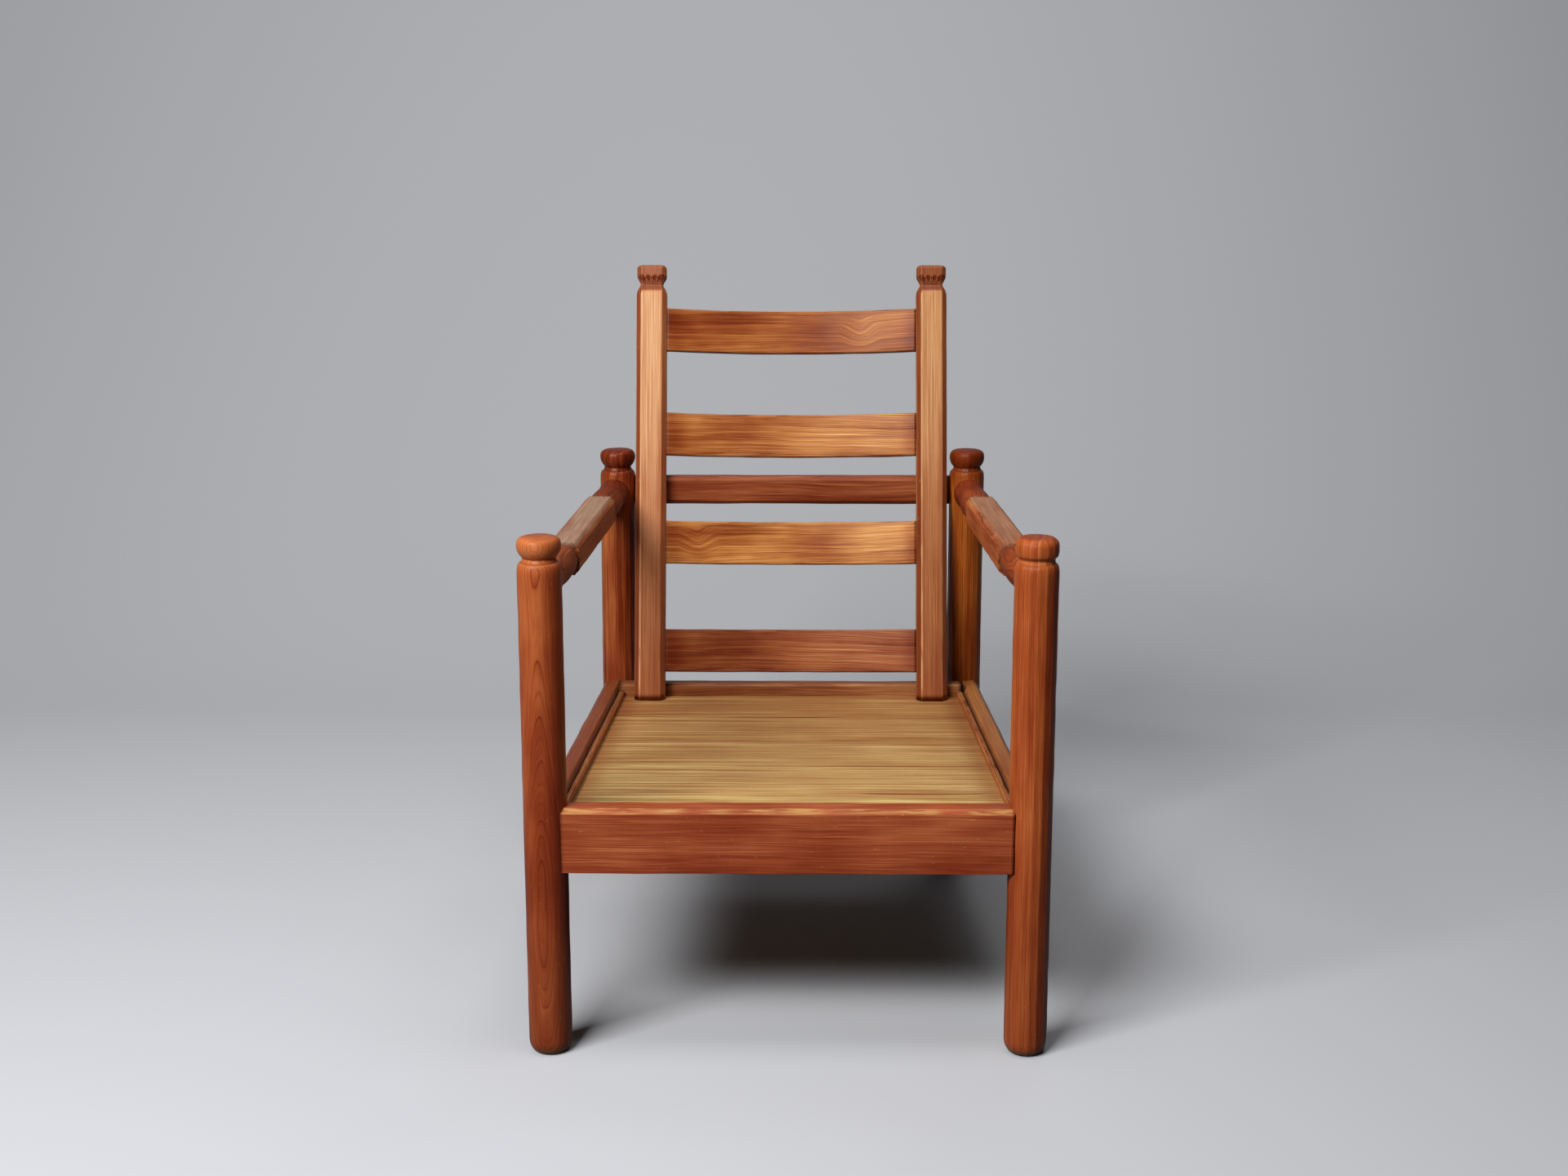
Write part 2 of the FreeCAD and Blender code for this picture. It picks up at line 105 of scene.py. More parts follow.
def paper_sweep():
    bm = bmesh.new()
    near = bm.verts.new((-half_width, near_edge, 0.0))
    bend = bm.verts.new((-half_width, bend_start, 0.0))
    bm.edges.new((near, bend))
    centre = (-half_width, bend_start, bend_radius)
    turned = bmesh.ops.spin(
        bm, geom=[bend], cent=centre, axis=(1, 0, 0), angle=math.pi / 2, steps=24
    )
    top = bmesh.ops.extrude_vert_indiv(bm, verts=turned["geom_last"])
    bmesh.ops.translate(bm, vec=(0, 0, wall_height), verts=top["verts"])
    sheet = bmesh.ops.extrude_edge_only(bm, edges=bm.edges[:])
    moved = only(bmesh.types.BMVert, sheet["geom"])
    bmesh.ops.translate(bm, vec=(2 * half_width, 0, 0), verts=moved)
    bmesh.ops.recalc_face_normals(bm, faces=bm.faces[:])
    mesh = bpy.data.meshes.new("paper_sweep")
    bm.to_mesh(mesh)
    bm.free()
    mesh.shade_smooth()
    return mesh


sweep = bpy.data.objects.new("paper_sweep", paper_sweep())
scene.collection.objects.link(sweep)
sweep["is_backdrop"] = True
print("paper sweep:", len(sweep.data.polygons), "faces")

# %% [markdown]
# Materials are trees of nodes. These helpers add a node, join what feeds it and give back
# its result, so that a long sum stays readable.

# %% Node helpers
def feed(tree, socket, value):
    if isinstance(value, bpy.types.NodeSocket):
        tree.links.new(value, socket)
    else:
        socket.default_value = value


def calculated(tree, kind, operation, values):
    node = tree.nodes.new(kind)
    node.operation = operation
    for socket, value in zip(node.inputs, values):
        feed(tree, socket, value)
    return node.outputs


def maths(tree, operation, *values):
    return calculated(tree, "ShaderNodeMath", operation, values)["Value"]


def vector_maths(tree, operation, *values):
    outputs = calculated(tree, "ShaderNodeVectorMath", operation, values)
    return outputs["Value" if operation == "LENGTH" else "Vector"]


def cloudy(tree, place, stretch, detail=2.0):
    node = tree.nodes.new("ShaderNodeTexNoise")
    node.inputs["Scale"].default_value = 1.0
    node.inputs["Detail"].default_value = detail
    feed(tree, node.inputs["Vector"], vector_maths(tree, "MULTIPLY", place, stretch))
    return node


def eased(tree, value, low, high, start=0.0, end=1.0):
    node = tree.nodes.new("ShaderNodeMapRange")
    node.interpolation_type = "SMOOTHSTEP"
    for socket, number in zip(node.inputs, (value, low, high, start, end)):
        feed(tree, socket, number)
    return node.outputs["Result"]


def mixed(tree, amount, first, second, mode="MIX"):
    node = tree.nodes.new("ShaderNodeMix")
    node.data_type = "RGBA"
    node.blend_type = mode
    for index, value in zip((0, 6, 7), (amount, first, second)):  # its colour sockets
        feed(tree, node.inputs[index], value)
    return node.outputs[2]


def attribute(tree, name, output="Fac"):
    node = tree.nodes.new("ShaderNodeAttribute")
    node.attribute_name = name
    return node.outputs[output]


print("node helpers ready")

# %% [markdown]
# The paper looks pale to the camera, but it throws little light back on the chair, because
# the real studio is large and dark around it. So its colour depends on the kind of ray: pale
# for what is seen, dark for light that bounces.

# %% Grey paper
paper_bounce = (0.13, 0.13, 0.135, 1)
paper_seen = (0.6, 0.61, 0.64, 1)
mirrored_share = 0.4


def seen_rays(tree):
    """1 for rays from the camera or through glass, less for mirrored ones, 0 for bounces."""
    rays = tree.nodes.new("ShaderNodeLightPath").outputs
    mirrored = maths(tree, "MULTIPLY", rays["Is Glossy Ray"], mirrored_share)
    seen = maths(tree, "MAXIMUM", rays["Is Camera Ray"], mirrored)
    return maths(tree, "MAXIMUM", seen, rays["Is Transmission Ray"])


paper = bpy.data.materials.new("grey_paper")
paper.use_nodes = True
paper_tree = paper.node_tree
paper_shader = paper_tree.nodes["Principled BSDF"]
paper_colour = mixed(paper_tree, seen_rays(paper_tree), paper_bounce, paper_seen)
paper_tree.links.new(paper_colour, paper_shader.inputs["Base Color"])
paper_shader.inputs["Roughness"].default_value = 0.9
paper_shader.inputs["Specular IOR Level"].default_value = 0.1
sweep.data.materials.append(paper)
print("paper colour seen:", paper_seen[:3])

# %% [markdown]
# One wide soft lamp hangs high in front and to the left, so the left sides of the posts are
# bright, the right sides fall into shade, and the seat throws a soft shadow back and to the
# right. A weak lamp behind keeps the back readable. A third hangs over the chair, turned to
# the wall, and evens out wall and floor. A dim world fills the shade a little, and looks pale
# where the camera or a shiny surface sees it.

# %% Lamps and world
def soft_lamp(name, place, target, width, depth, power):
    data = bpy.data.lights.new(name, "AREA")
    data.shape = "RECTANGLE"
    data.size = width
    data.size_y = depth
    data.energy = power
    lamp = bpy.data.objects.new(name, data)
    lamp.location = place
    aim = Vector(target) - Vector(place)
    lamp.rotation_euler = aim.to_track_quat("-Z", "Y").to_euler()
    scene.collection.objects.link(lamp)


soft_lamp("key_lamp", (-1.62, -2.55, 2.75), (0.0, -0.1, 0.35), 2.0, 1.0, 160.0)
soft_lamp("back_lamp", (0.9, 1.5, 3.3), (0.0, 0.3, 0.4), 1.0, 1.0, 6.0)
soft_lamp("wall_lamp", (0.1, -0.5, 3.6), (-0.1, 3.0, 0.9), 1.6, 1.6, 43.0)
world_light, world_seen = 0.018, 0.36
world = bpy.data.worlds.new("studio")
world.use_nodes = True
sky = world.node_tree
backdrop = sky.nodes["Background"]
backdrop.inputs["Color"].default_value = (0.95, 0.97, 1.0, 1)
strength = maths(sky, "MULTIPLY_ADD", seen_rays(sky), world_seen - world_light, world_light)
sky.links.new(strength, backdrop.inputs["Strength"])
scene.world = world

# %% [markdown]
# ## Pine
# Pine shows its growth rings. A flat wood texture would look the same on every side of a
# post, so here every piece is cut from its own place in a trunk, and the rings are real 3-D
# shells round a pith line. A face that cuts the shells flat shows long V shapes and ovals,
# and one that cuts them upright shows straight lines. The nodes below measure the distance
# from the pith line, with a slow sway along the trunk and some jitter. A knot pushes the
# rings outwards around its spot. The ring count is distance divided by ring width.

# %% Growth rings
def trunk_place(tree, pith, turn, grown):
    mapping = tree.nodes.new("ShaderNodeMapping")
    mapping.vector_type = "TEXTURE"
    mapping.inputs["Location"].default_value = pith
    mapping.inputs["Rotation"].default_value = turn
    if grown:
        source = attribute(tree, "grown", "Vector")
    else:
        source = tree.nodes.new("ShaderNodeTexCoord").outputs["Object"]
    tree.links.new(source, mapping.inputs["Vector"])
    return mapping.outputs["Vector"]


def wander(tree, place, stretch, amount):
    noise_colour = cloudy(tree, place, stretch, 1.0).outputs["Color"]
    centred = vector_maths(tree, "SUBTRACT", noise_colour, (0.5, 0.5, 0.5))
    return vector_maths(tree, "MULTIPLY", centred, (amount, amount, 0.0))


def growth_rings(tree, place, ring, sway, jitter, ripple, knot):
    parts = tree.nodes.new("ShaderNodeSeparateXYZ")
    tree.links.new(place, parts.inputs["Vector"])
    along = parts.outputs["Z"]
    amount, length, start = sway
    from_start = maths(tree, "SUBTRACT", along, start)
    swing = maths(tree, "MULTIPLY", from_start, 2 * math.pi / length)
    sideways = maths(tree, "MULTIPLY", maths(tree, "SINE", swing), amount)
    shift = tree.nodes.new("ShaderNodeCombineXYZ")
    tree.links.new(sideways, shift.inputs["Y"])
    across = vector_maths(tree, "ADD", place, shift.outputs["Vector"])
    slow = wander(tree, place, (3.0, 3.0, 5.0), jitter)
    quick = wander(tree, place, (42.0, 42.0, 24.0), ripple)
    across = vector_maths(tree, "ADD", vector_maths(tree, "ADD", across, slow), quick)
    flat = vector_maths(tree, "MULTIPLY", across, (1, 1, 0))
    distance = vector_maths(tree, "LENGTH", flat)
    if knot:
        spot, size, lift = knot
        reach = vector_maths(tree, "LENGTH", vector_maths(tree, "SUBTRACT", place, spot))
        distance = maths(tree, "ADD", distance, eased(tree, reach, size, 0.0, 0.0, lift))
    uneven = cloudy(tree, across, (55.0, 55.0, 1.5), 1.0).outputs["Fac"]
    count = maths(tree, "DIVIDE", distance, ring)
    return maths(tree, "ADD", count, maths(tree, "MULTIPLY", uneven, 2.2)), along


print("growth rings ready")

# %% [markdown]
# The fraction of the ring count runs from 0 to 1 across each ring: pale at first, then
# darker, with a sharp stop at the winter line. Each ring also gets its own strength, because
# no two summers are alike. Finer lines follow the rings too, and fade in and out along them.

# %% Late wood and grain lines
ring_levels = (
    (0.0, 0.35), (0.05, 0.0), (0.6, 0.05), (0.84, 0.35), (0.94, 1.0), (1.0, 0.35)
)


def late_wood(tree, count):
    ramp = tree.nodes.new("ShaderNodeValToRGB")
    tree.links.new(maths(tree, "FRACT", count), ramp.inputs["Fac"])
    for position, level in ring_levels:
        stop = ramp.color_ramp.elements.new(position)
        stop.color = (level, level, level, 1)
    for old in (ramp.color_ramp.elements[-1], ramp.color_ramp.elements[0]):
        ramp.color_ramp.elements.remove(old)
    summer = tree.nodes.new("ShaderNodeTexWhiteNoise")
    summer.noise_dimensions = "1D"
    tree.links.new(maths(tree, "FLOOR", count), summer.inputs["W"])
    strength = maths(tree, "POWER", summer.outputs["Value"], 2.0)
    strength = maths(tree, "MULTIPLY_ADD", strength, 0.85, 0.15)
    return maths(tree, "MULTIPLY", ramp.outputs["Color"], strength)


def grain_lines(tree, count, along, reach, closeness):
    spread = tree.nodes.new("ShaderNodeCombineXYZ")
    tree.links.new(maths(tree, "MULTIPLY", count, closeness), spread.inputs["X"])
    tree.links.new(maths(tree, "MULTIPLY", along, reach), spread.inputs["Y"])
    return cloudy(tree, spread.outputs["Vector"], (1, 1, 1), 3.0).outputs["Fac"]


print("ring stops:", len(ring_levels))

# %% [markdown]
# The finish on top is an old satin varnish. It works like a coloured filter: where it is
# thicker, or the wood under it darker, green and blue are lost faster than red. A plain mix
# of two browns would turn grey in between, so one number says how much light comes through,
# and it is raised to a higher power for green and blue. Rings, lines along the grain, fibres,
# broad clouds and the mesh's own stain and painted shade all go into that number. A stain
# below zero stands for thin varnish, which is lighter and yellower.

# %% Light through the varnish
filter_powers = (1.0, 1.75, 2.0)  # for red, green and blue


def filtered(tree, colour, amount):
    shade = tree.nodes.new("ShaderNodeCombineColor")
    for socket, power in zip(shade.inputs, filter_powers):
        tree.links.new(maths(tree, "POWER", amount, power), socket)
    return mixed(tree, 1.0, (*colour, 1), shade.outputs["Color"], "MULTIPLY")


def varnish_light(tree, rings, reach, depth, spreads, fibres, mottle):
    count, along = rings
    light = maths(tree, "MULTIPLY_ADD", late_wood(tree, count), -depth, 1.06)
    narrow = grain_lines(tree, count, along, reach, 2.4)
    broad = grain_lines(tree, count, along, reach * 0.4, 0.5)
    for pattern, spread in zip((narrow, broad, fibres, mottle), spreads):
        level = eased(tree, pattern, 0.28, 0.72, 1.0 - spread, 1.0 + spread)
        light = maths(tree, "MULTIPLY", light, level)
    stain = maths(tree, "SUBTRACT", 1.0, attribute(tree, "stain"))
    return maths(tree, "MULTIPLY", light, stain)


print("filter powers:", filter_powers)

# %% [markdown]
# Use has changed the varnish. Hands have rubbed the edges pale, small scuffs show bare wood,
# dirt has stayed in the hollows, and the tops of the arms and side rails have faded to
# another colour. The rubbed mark also paints a highlight line on the stiles, and the dirt
# mark paints the shade in the gap between side rail and seat cleat. These places come from
# attributes of the mesh, so they follow the shape of each piece. In pine, depth, lines,
# bands, fine and clouds say how strong each pattern is, and worn_and_highlight, grey and
# grown are used where a piece needs them.

# %% Varnished pine
worn_gains = (1.3, 1.65, 1.9)  # rubbed wood is paler and less red than the varnish
# the dark colour of dirt, and of the painted shade in the gap beside the seat cleats
dirt_and_shade_colour = (0.022, 0.008, 0.004, 1)


def aged(tree, place, finish, worn_and_highlight):
    specks = cloudy(tree, place, (260.0, 260.0, 110.0), 2.0).outputs["Fac"]
    scuffs = eased(tree, specks, 0.7, 0.76, 0.0, 0.28)
    scales = cloudy(tree, place, (330.0, 330.0, 24.0), 3.0).outputs["Fac"]
    flakes = eased(tree, scales, 0.4, 0.58, 0.05, 0.9)
    rubbed = maths(tree, "MULTIPLY", attribute(tree, "rubbed"), flakes)
    finish = mixed(tree, maths(tree, "MAXIMUM", rubbed, scuffs), finish, (*worn_and_highlight, 1))
    return mixed(tree, attribute(tree, "dirt"), finish, dirt_and_shade_colour)


def pine(
    name, pith, turn, ring, colour, depth=0.6, lines=0.26, bands=0.12, clouds=0.2, fine=0.15,
    reach=8.0, sway=(0.0, 1.0, 0.0), jitter=0.01, ripple=0.002, knot=None, worn_and_highlight=None,
    grey=None, gloss=0.36, grown=False
):
    material = bpy.data.materials.new(name)
    material.use_nodes = True
    tree = material.node_tree
    shader = tree.nodes["Principled BSDF"]
    place = trunk_place(tree, pith, turn, grown)
    rings = growth_rings(tree, place, ring, sway, jitter, ripple, knot)
    fibres = cloudy(tree, place, (950.0, 950.0, 14.0), 3.0).outputs["Fac"]
    mottle = cloudy(tree, place, (16.0, 16.0, 6.0), 3.0).outputs["Fac"]
    spreads = (lines, bands, fine, clouds)
    light = varnish_light(tree, rings, reach, depth, spreads, fibres, mottle)
    finish = filtered(tree, colour, light)
    if grey:
        patchy = eased(tree, mottle, 0.2, 0.6, 0.8, 0.95)
        faded = maths(tree, "MULTIPLY", attribute(tree, "faded"), patchy)
        soft_light = maths(tree, "POWER", light, 0.5)
        finish = mixed(tree, faded, finish, filtered(tree, grey, soft_light))
    worn_and_highlight = worn_and_highlight or [level * gain for level, gain in zip(colour, worn_gains)]
    tree.links.new(aged(tree, place, finish, worn_and_highlight), shader.inputs["Base Color"])
    roughness = maths(tree, "MULTIPLY_ADD", fibres, 0.24, gloss - 0.12)
    tree.links.new(roughness, shader.inputs["Roughness"])
    shader.inputs["Specular IOR Level"].default_value = 0.14
    bump = tree.nodes.new("ShaderNodeBump")
    bump.inputs["Strength"].default_value = 0.25
    bump.inputs["Distance"].default_value = 0.0006
    tree.links.new(light, bump.inputs["Height"])
    tree.links.new(bump.outputs["Normal"], shader.inputs["Normal"])
    return material


along_x = (0.0, math.pi / 2, 0.0)
upright = (0.0, 0.0, 0.0)
print("pine ready")

# %% [markdown]
# ## From mesh to piece
# A few helpers finish every piece. One pushes the surface in and out a little, because the
# chair was worked by hand. One marks ridges as rubbed and hollows as dirty, from the angles
# between faces, and opens two more attributes, one for stain and painted shade and one for
# faded wood. One makes the object, hides the CAD node it takes the place of and hangs it on
# its body. Its modifier keeps large faces flat in the shading, without extra edges in the
# mesh.

# %% Finishing helpers
def hand_worked(bm, depth, size, seed=0.0):
    bm.normal_update()
    shift = Vector((seed, seed, seed))
    pushes = [noise.noise(vert.co / size + shift) * depth for vert in bm.verts]
    for vert, push in zip(bm.verts, pushes):
        vert.co += vert.normal * push


def fade(value, low, high):
    share = min(max((value - low) / (high - low), 0.0), 1.0)
    return share * share * (3.0 - 2.0 * share)


def put(bm, matrix):
    bmesh.ops.transform(bm, matrix=matrix, verts=bm.verts[:])


def peak(value, middle, width):
    return math.exp(-((value - middle) / width) ** 2)


def mark_wear(bm):
    for name in ("rubbed", "dirt", "stain", "faded"):
        bm.verts.layers.float.new(name)
    wear = SimpleNamespace(**dict(bm.verts.layers.float.items()))
    bm.normal_update()
    for vert in bm.verts:
        bend = sum(edge.calc_face_angle_signed(0.0) for edge in vert.link_edges)
        vert[wear.rubbed] = min(max(bend - 0.3, 0.0), 1.0)
        vert[wear.dirt] = min(max((-bend - 0.25) / 1.2, 0.0), 0.7)
    return wear


def finished(bm, node, material, body="frame"):
    mesh = bpy.data.meshes.new(node + "_wood")
    bm.to_mesh(mesh)
    bm.free()
    mesh.shade_smooth()
    mesh.materials.append(material)
    piece = bpy.data.objects.new(node + "_wood", mesh)
    scene.collection.objects.link(piece)
    normals = piece.modifiers.new("flat_faces", "WEIGHTED_NORMAL")
    normals.keep_sharp = True
    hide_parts(node)
    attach(piece, body)
    print(piece.name, len(mesh.polygons), "faces")


front_x, front_y = 0.298, -0.376719
rear_x, rear_y = 0.2655, 0.313281
print("front posts at", (front_x, front_y), "rear posts at", (rear_x, rear_y))

# %% [markdown]
# ## Posts
# Four round posts carry everything. Each has a finial above a cut neck, and a rounded foot.
# Three finials are buns and one is a drum. A post is a lathe piece, so its half outline is
# drawn with a few smooth curves, given as radius and height, and spun. A stack of cylinders
# would show steps where the real post flows.

# %% Post outlines
post_top = 0.658


def curve(start, start_handle, end_handle, end, count=9):
    points = [Vector((r, z)) for r, z in (start, start_handle, end_handle, end)]
    return [tuple(point) for point in interpolate_bezier(*points, count)]


def post_foot(radius):
    rounding = curve(
        (radius, 0.018), (radius, 0.008), (radius - 0.004, 0.001), (radius - 0.010, 0.0)
    )
    return rounding + [(0.0, 0.0)]


def bun_outline(radius, neck):
    top = curve(
        (0.012, post_top), (radius - 0.004, post_top), (radius, 0.655), (radius, 0.6465)
    )
    under = curve((radius, 0.6465), (radius, 0.640), (neck + 0.003, 0.6350), (neck, 0.6322))
    collar = curve(
        (neck, 0.6314), (neck, 0.6305), (neck + 0.0012, 0.6290), (neck + 0.0013, 0.6276), 5
    )
    shoulder = curve(
        (neck + 0.0016, 0.6270), (neck + 0.0045, 0.6262), (radius, 0.6235), (radius, 0.6135)
    )
    head = [(0.0, post_top)] + top + under[1:] + collar + shoulder
    return head, post_foot(radius)


def drum_outline(radius, neck):
    top = curve(
        (0.0165, post_top), (0.0200, 0.6578), (0.0225, 0.6560), (radius - 0.0022, 0.6528), 6
    )
    side = curve(
        (radius - 0.0018, 0.6522), (radius - 0.0002, 0.6500), (radius, 0.6400),
        (radius - 0.0012, 0.6362), 8
    )
    under = curve(
        (radius - 0.0016, 0.6358), (radius - 0.0025, 0.6345), (neck + 0.001, 0.6335),
        (neck, 0.6318), 6
    )
    band = curve(
        (neck, 0.6312), (neck - 0.0003, 0.6300), (neck, 0.6280), (neck + 0.0006, 0.6268), 5
    )
    shoulder = curve(
        (neck + 0.0012, 0.6262), (neck + 0.003, 0.6250), (radius, 0.6230), (radius, 0.6130), 8
    )
    head = [(0.0, post_top)] + top + side + under + band + shoulder
    return head, post_foot(radius)


print("bun outline:", len(bun_outline(0.027, 0.0213)[0]), "points")

# %% [markdown]
# The posts were planed by hand and keep flats, which are pressed into the spun mesh by the
# share given: 1 would be a true many-sided bar. Strong flats get sharp edges between them.

# %% Spun posts
sides_round = 96


def spun_post(outline, flats, share):
    head, foot = outline
    bm = bmesh.new()
    verts = [bm.verts.new((r, 0.0, z)) for r, z in head + foot]
    edges = [bm.edges.new(pair) for pair in zip(verts, verts[1:])]
    bmesh.ops.subdivide_edges(bm, edges=[edges[len(head) - 1]], cuts=48)
    bmesh.ops.spin(
        bm, geom=bm.verts[:] + bm.edges[:], cent=(0, 0, 0), axis=(0, 0, 1),
        angle=2 * math.pi, steps=sides_round, use_merge=True
    )
    bmesh.ops.remove_doubles(bm, verts=bm.verts[:], dist=1e-6)
    bmesh.ops.recalc_face_normals(bm, faces=bm.faces[:])
    step = 2 * math.pi / flats

    def from_middle(vert):
        return (math.atan2(vert.co.y, vert.co.x) + 1e-4) % step - step / 2

    if share > 0.5:
        for edge in bm.edges:
            gaps = [abs(abs(from_middle(vert)) - step / 2) for vert in edge.verts]
            edge.smooth = max(gaps) > 1e-3
    for vert in bm.verts:
        scale = 1.0 - share * (1.0 - math.cos(step / 2) / math.cos(from_middle(vert)))
        vert.co.x *= scale
        vert.co.y *= scale
    return bm


print("sides round a post:", sides_round)

# %% [markdown]
# The lower part of a post and its right side carry painted shade: they are darker towards the
# floor and on the side turned from the lamp. Each finial, its top and its neck have a tone of
# their own. One rear post also leans a little.

# %% Turned posts
neck_level, neck_reach = 0.629, 0.0022


def turned_post(
    outline, x, y, flats, share, seed, finial=0.0, top=0.0, neck=0.0, lean=0.0, right_shade=0.27,
    low=0.26
):
    bm = spun_post(outline, flats, share)
    hand_worked(bm, 0.0005, 0.03, seed)
    wear = mark_wear(bm)
    for vert in bm.verts:
        height = vert.co.z
        in_neck = peak(height, neck_level, neck_reach)
        tone = finial * fade(height, 0.604, 0.64)
        tone += (top - finial) * fade(height, 0.6555, 0.6578)
        # painted shade: darker towards the foot, and on the right side, turned from the lamp
        shade = low * fade(height, 0.45, 0.12) + right_shade * fade(vert.normal.x, 0.1, 0.8)
        vert[wear.stain] = shade + tone + (neck - tone) * abs(neck) / 0.5 * in_neck
        dusty = 0.09 * fade(height, 0.28, 0.06)
        vert[wear.faded] = max(fade(height, 0.014, 0.003), dusty)
        vert[wear.rubbed] *= 0.35
        vert[wear.dirt] *= 1.0 if neck >= 0 else 1.0 - in_neck
        vert.co.x += lean * height / post_top
    bmesh.ops.translate(bm, vec=(x, y, 0.0), verts=bm.verts[:])
    return bm


print("neck of the posts at", neck_level)

# %% [markdown]
# Each post has its own place in the trunk. The left front post shows long V shapes, so its
# pith lies just in front of it and sways. The others show straighter lines, so their pith
# lies to one side.

# %% Front posts
dust = (0.15, 0.095, 0.045)
left_front_pine = pine(
    "left_front_post_pine", (-front_x - 0.004, front_y - 0.058, 0.0), upright, 0.0026,
    (0.318, 0.062, 0.016), depth=0.55, lines=0.08, clouds=0.3, fine=0.09,
    sway=(0.014, 0.722, 0.3705), jitter=0.004, ripple=0.001, worn_and_highlight=(0.46, 0.19, 0.055),
    grey=dust
)
right_front_pine = pine(
    "right_front_post_pine", (front_x - 0.11, front_y + 0.02, 0.0), upright, 0.0032,
    (0.4, 0.085, 0.02), depth=0.5, lines=0.16, fine=0.12, worn_and_highlight=(0.52, 0.23, 0.075),
    grey=dust
)
left_front = turned_post(
    bun_outline(0.027, 0.0203), -front_x, front_y, 24, 0.4, 0.3, -0.38, -0.18, low=0.17
)
right_front = turned_post(
    drum_outline(0.027, 0.022), front_x, front_y, 16, 0.95, 1.1, -0.02, 0.28, -0.5
)
finished(left_front, "left_front_post", left_front_pine)
finished(right_front, "right_front_post", right_front_pine)

# %% Rear posts
left_rear_pine = pine(
    "left_rear_post_pine", (-rear_x - 0.08, rear_y + 0.03, 0.0), upright, 0.0034,
    (0.32, 0.07, 0.0185), depth=0.75, lines=0.3, bands=0.3, clouds=0.3, grey=dust
)
right_rear_pine = pine(
    "right_rear_post_pine", (rear_x + 0.08, rear_y + 0.03, 0.0), upright, 0.003,
    (0.26, 0.053, 0.0065), depth=0.7, clouds=0.3, grey=dust
)
left_rear = turned_post(
    bun_outline(0.0265, 0.02), -rear_x, rear_y, 16, 0.9, 2.2, 0.4, 0.45, lean=0.0032,
    right_shade=0.4
)
right_rear = turned_post(
    bun_outline(0.026, 0.02), rear_x, rear_y, 16, 0.9, 3.4, 0.52, 0.52, right_shade=0.0
)
finished(left_rear, "left_rear_post", left_rear_pine)
finished(right_rear, "right_rear_post", right_rear_pine)

# %% [markdown]
# ## Arms
# Each arm is a heavy eight-sided beam. Near each end a narrow groove is cut all round, and
# from there to the post the wood is carved round: a bead, a waist and a knob. A beam and a
# lathe piece could be joined, but the carved end and the beam are one piece of wood. So a
# circle is pulled along the arm ring by ring, and each ring is then drawn in, near the posts
# to the round outline and between the grooves to the beam's eight sides.

# %% Pulled circle
def pulled_circle(stations, corners):
    bm = bmesh.new()
    circle = bmesh.ops.create_circle(bm, segments=sides_round, radius=1.0, cap_ends=True)
    ring = circle["verts"]
    for vert in ring:
        turn = math.atan2(vert.co.y, vert.co.x)
        nearest = min(corners, key=lambda corner: abs(corner - turn))
        if abs(nearest - turn) < math.pi / sides_round:
            vert.co.x, vert.co.y = math.cos(nearest), math.sin(nearest)
    bmesh.ops.translate(bm, vec=(0, 0, stations[0]), verts=ring)
    face = bm.faces[:]
    for before, after in zip(stations, stations[1:]):
        grown = bmesh.ops.extrude_face_region(bm, geom=face)
        face = only(bmesh.types.BMFace, grown["geom"])
        moved = only(bmesh.types.BMVert, grown["geom"])
        bmesh.ops.translate(bm, vec=(0, 0, after - before), verts=moved)
    low, high = stations[0] + 1e-5, stations[-1] - 1e-5
    caps = [item for item in bm.faces if len(item.verts) > 4]
    inside = [cap for cap in caps if low < cap.calc_center_median().z < high]
    bmesh.ops.delete(bm, geom=inside, context="FACES_ONLY")
    bmesh.ops.recalc_face_normals(bm, faces=bm.faces[:])
    return bm


def eight_corners(half_width, half_depth, front_sum, back_sum):
    corners = []
    for across in (-1, 1):
        for back, total in ((-1, front_sum), (1, back_sum)):
            corners.append(math.atan2(back * half_depth, across * (total - half_depth)))
            corners.append(math.atan2(back * (total - half_width), across * half_width))
    return corners


print("a pulled circle has", sides_round, "sides")

# %% [markdown]
# The arms and the side rails run from a front post to a rear post, and the rear posts stand
# closer together. So these pieces are drawn along a straight line from the front post, and a
# matrix then puts that line in place. The carved end is a list of distances and radii.

# %% Arm outline
arm_level = 0.5945
arm_half_width, arm_half_height = 0.022, 0.021
arm_corner = 0.036  # width plus height on the chamfers
groove_place = 0.17
side_length = math.hypot(rear_y - front_y, front_x - rear_x)
bell_points = [
    (0.0, 0.0195), (0.018, 0.0212), (0.040, 0.0222), (0.054, 0.0208), (0.066, 0.0192),
    (0.078, 0.0202), (0.092, 0.0216), (0.108, 0.0222), (0.130, 0.0224), (0.148, 0.0222),
    (0.158, 0.0215), (0.1640, 0.0203), (0.1665, 0.0180), (0.1680, 0.0165), (0.1705, 0.0165),
    (0.1720, 0.0235), (0.1745, 0.0300),
]


def side_place(side):
    turn = math.atan2(rear_y - front_y, (front_x - rear_x) * -side)
    return Matrix.Translation((side * front_x, front_y, 0.0)) @ Matrix.Rotation(turn, 4, "Z")


def between(points, place, beyond):
    for (x0, r0), (x1, r1) in zip(points, points[1:]):
        if place <= x1:
            return r0 + (r1 - r0) * (place - x0) / (x1 - x0)
    return beyond


def beam_radius(turn):
    across, up = abs(math.cos(turn)), abs(math.sin(turn))
    sides = arm_half_width / max(across, 1e-6), arm_half_height / max(up, 1e-6)
    return min(*sides, arm_corner / (across + up))


print("arm length between posts:", round(side_length, 4))

# %% [markdown]
# The groove was cut roughly, and fibres tore there, so noise makes its edges ragged. The rings
# lie closest together where the shape changes most.

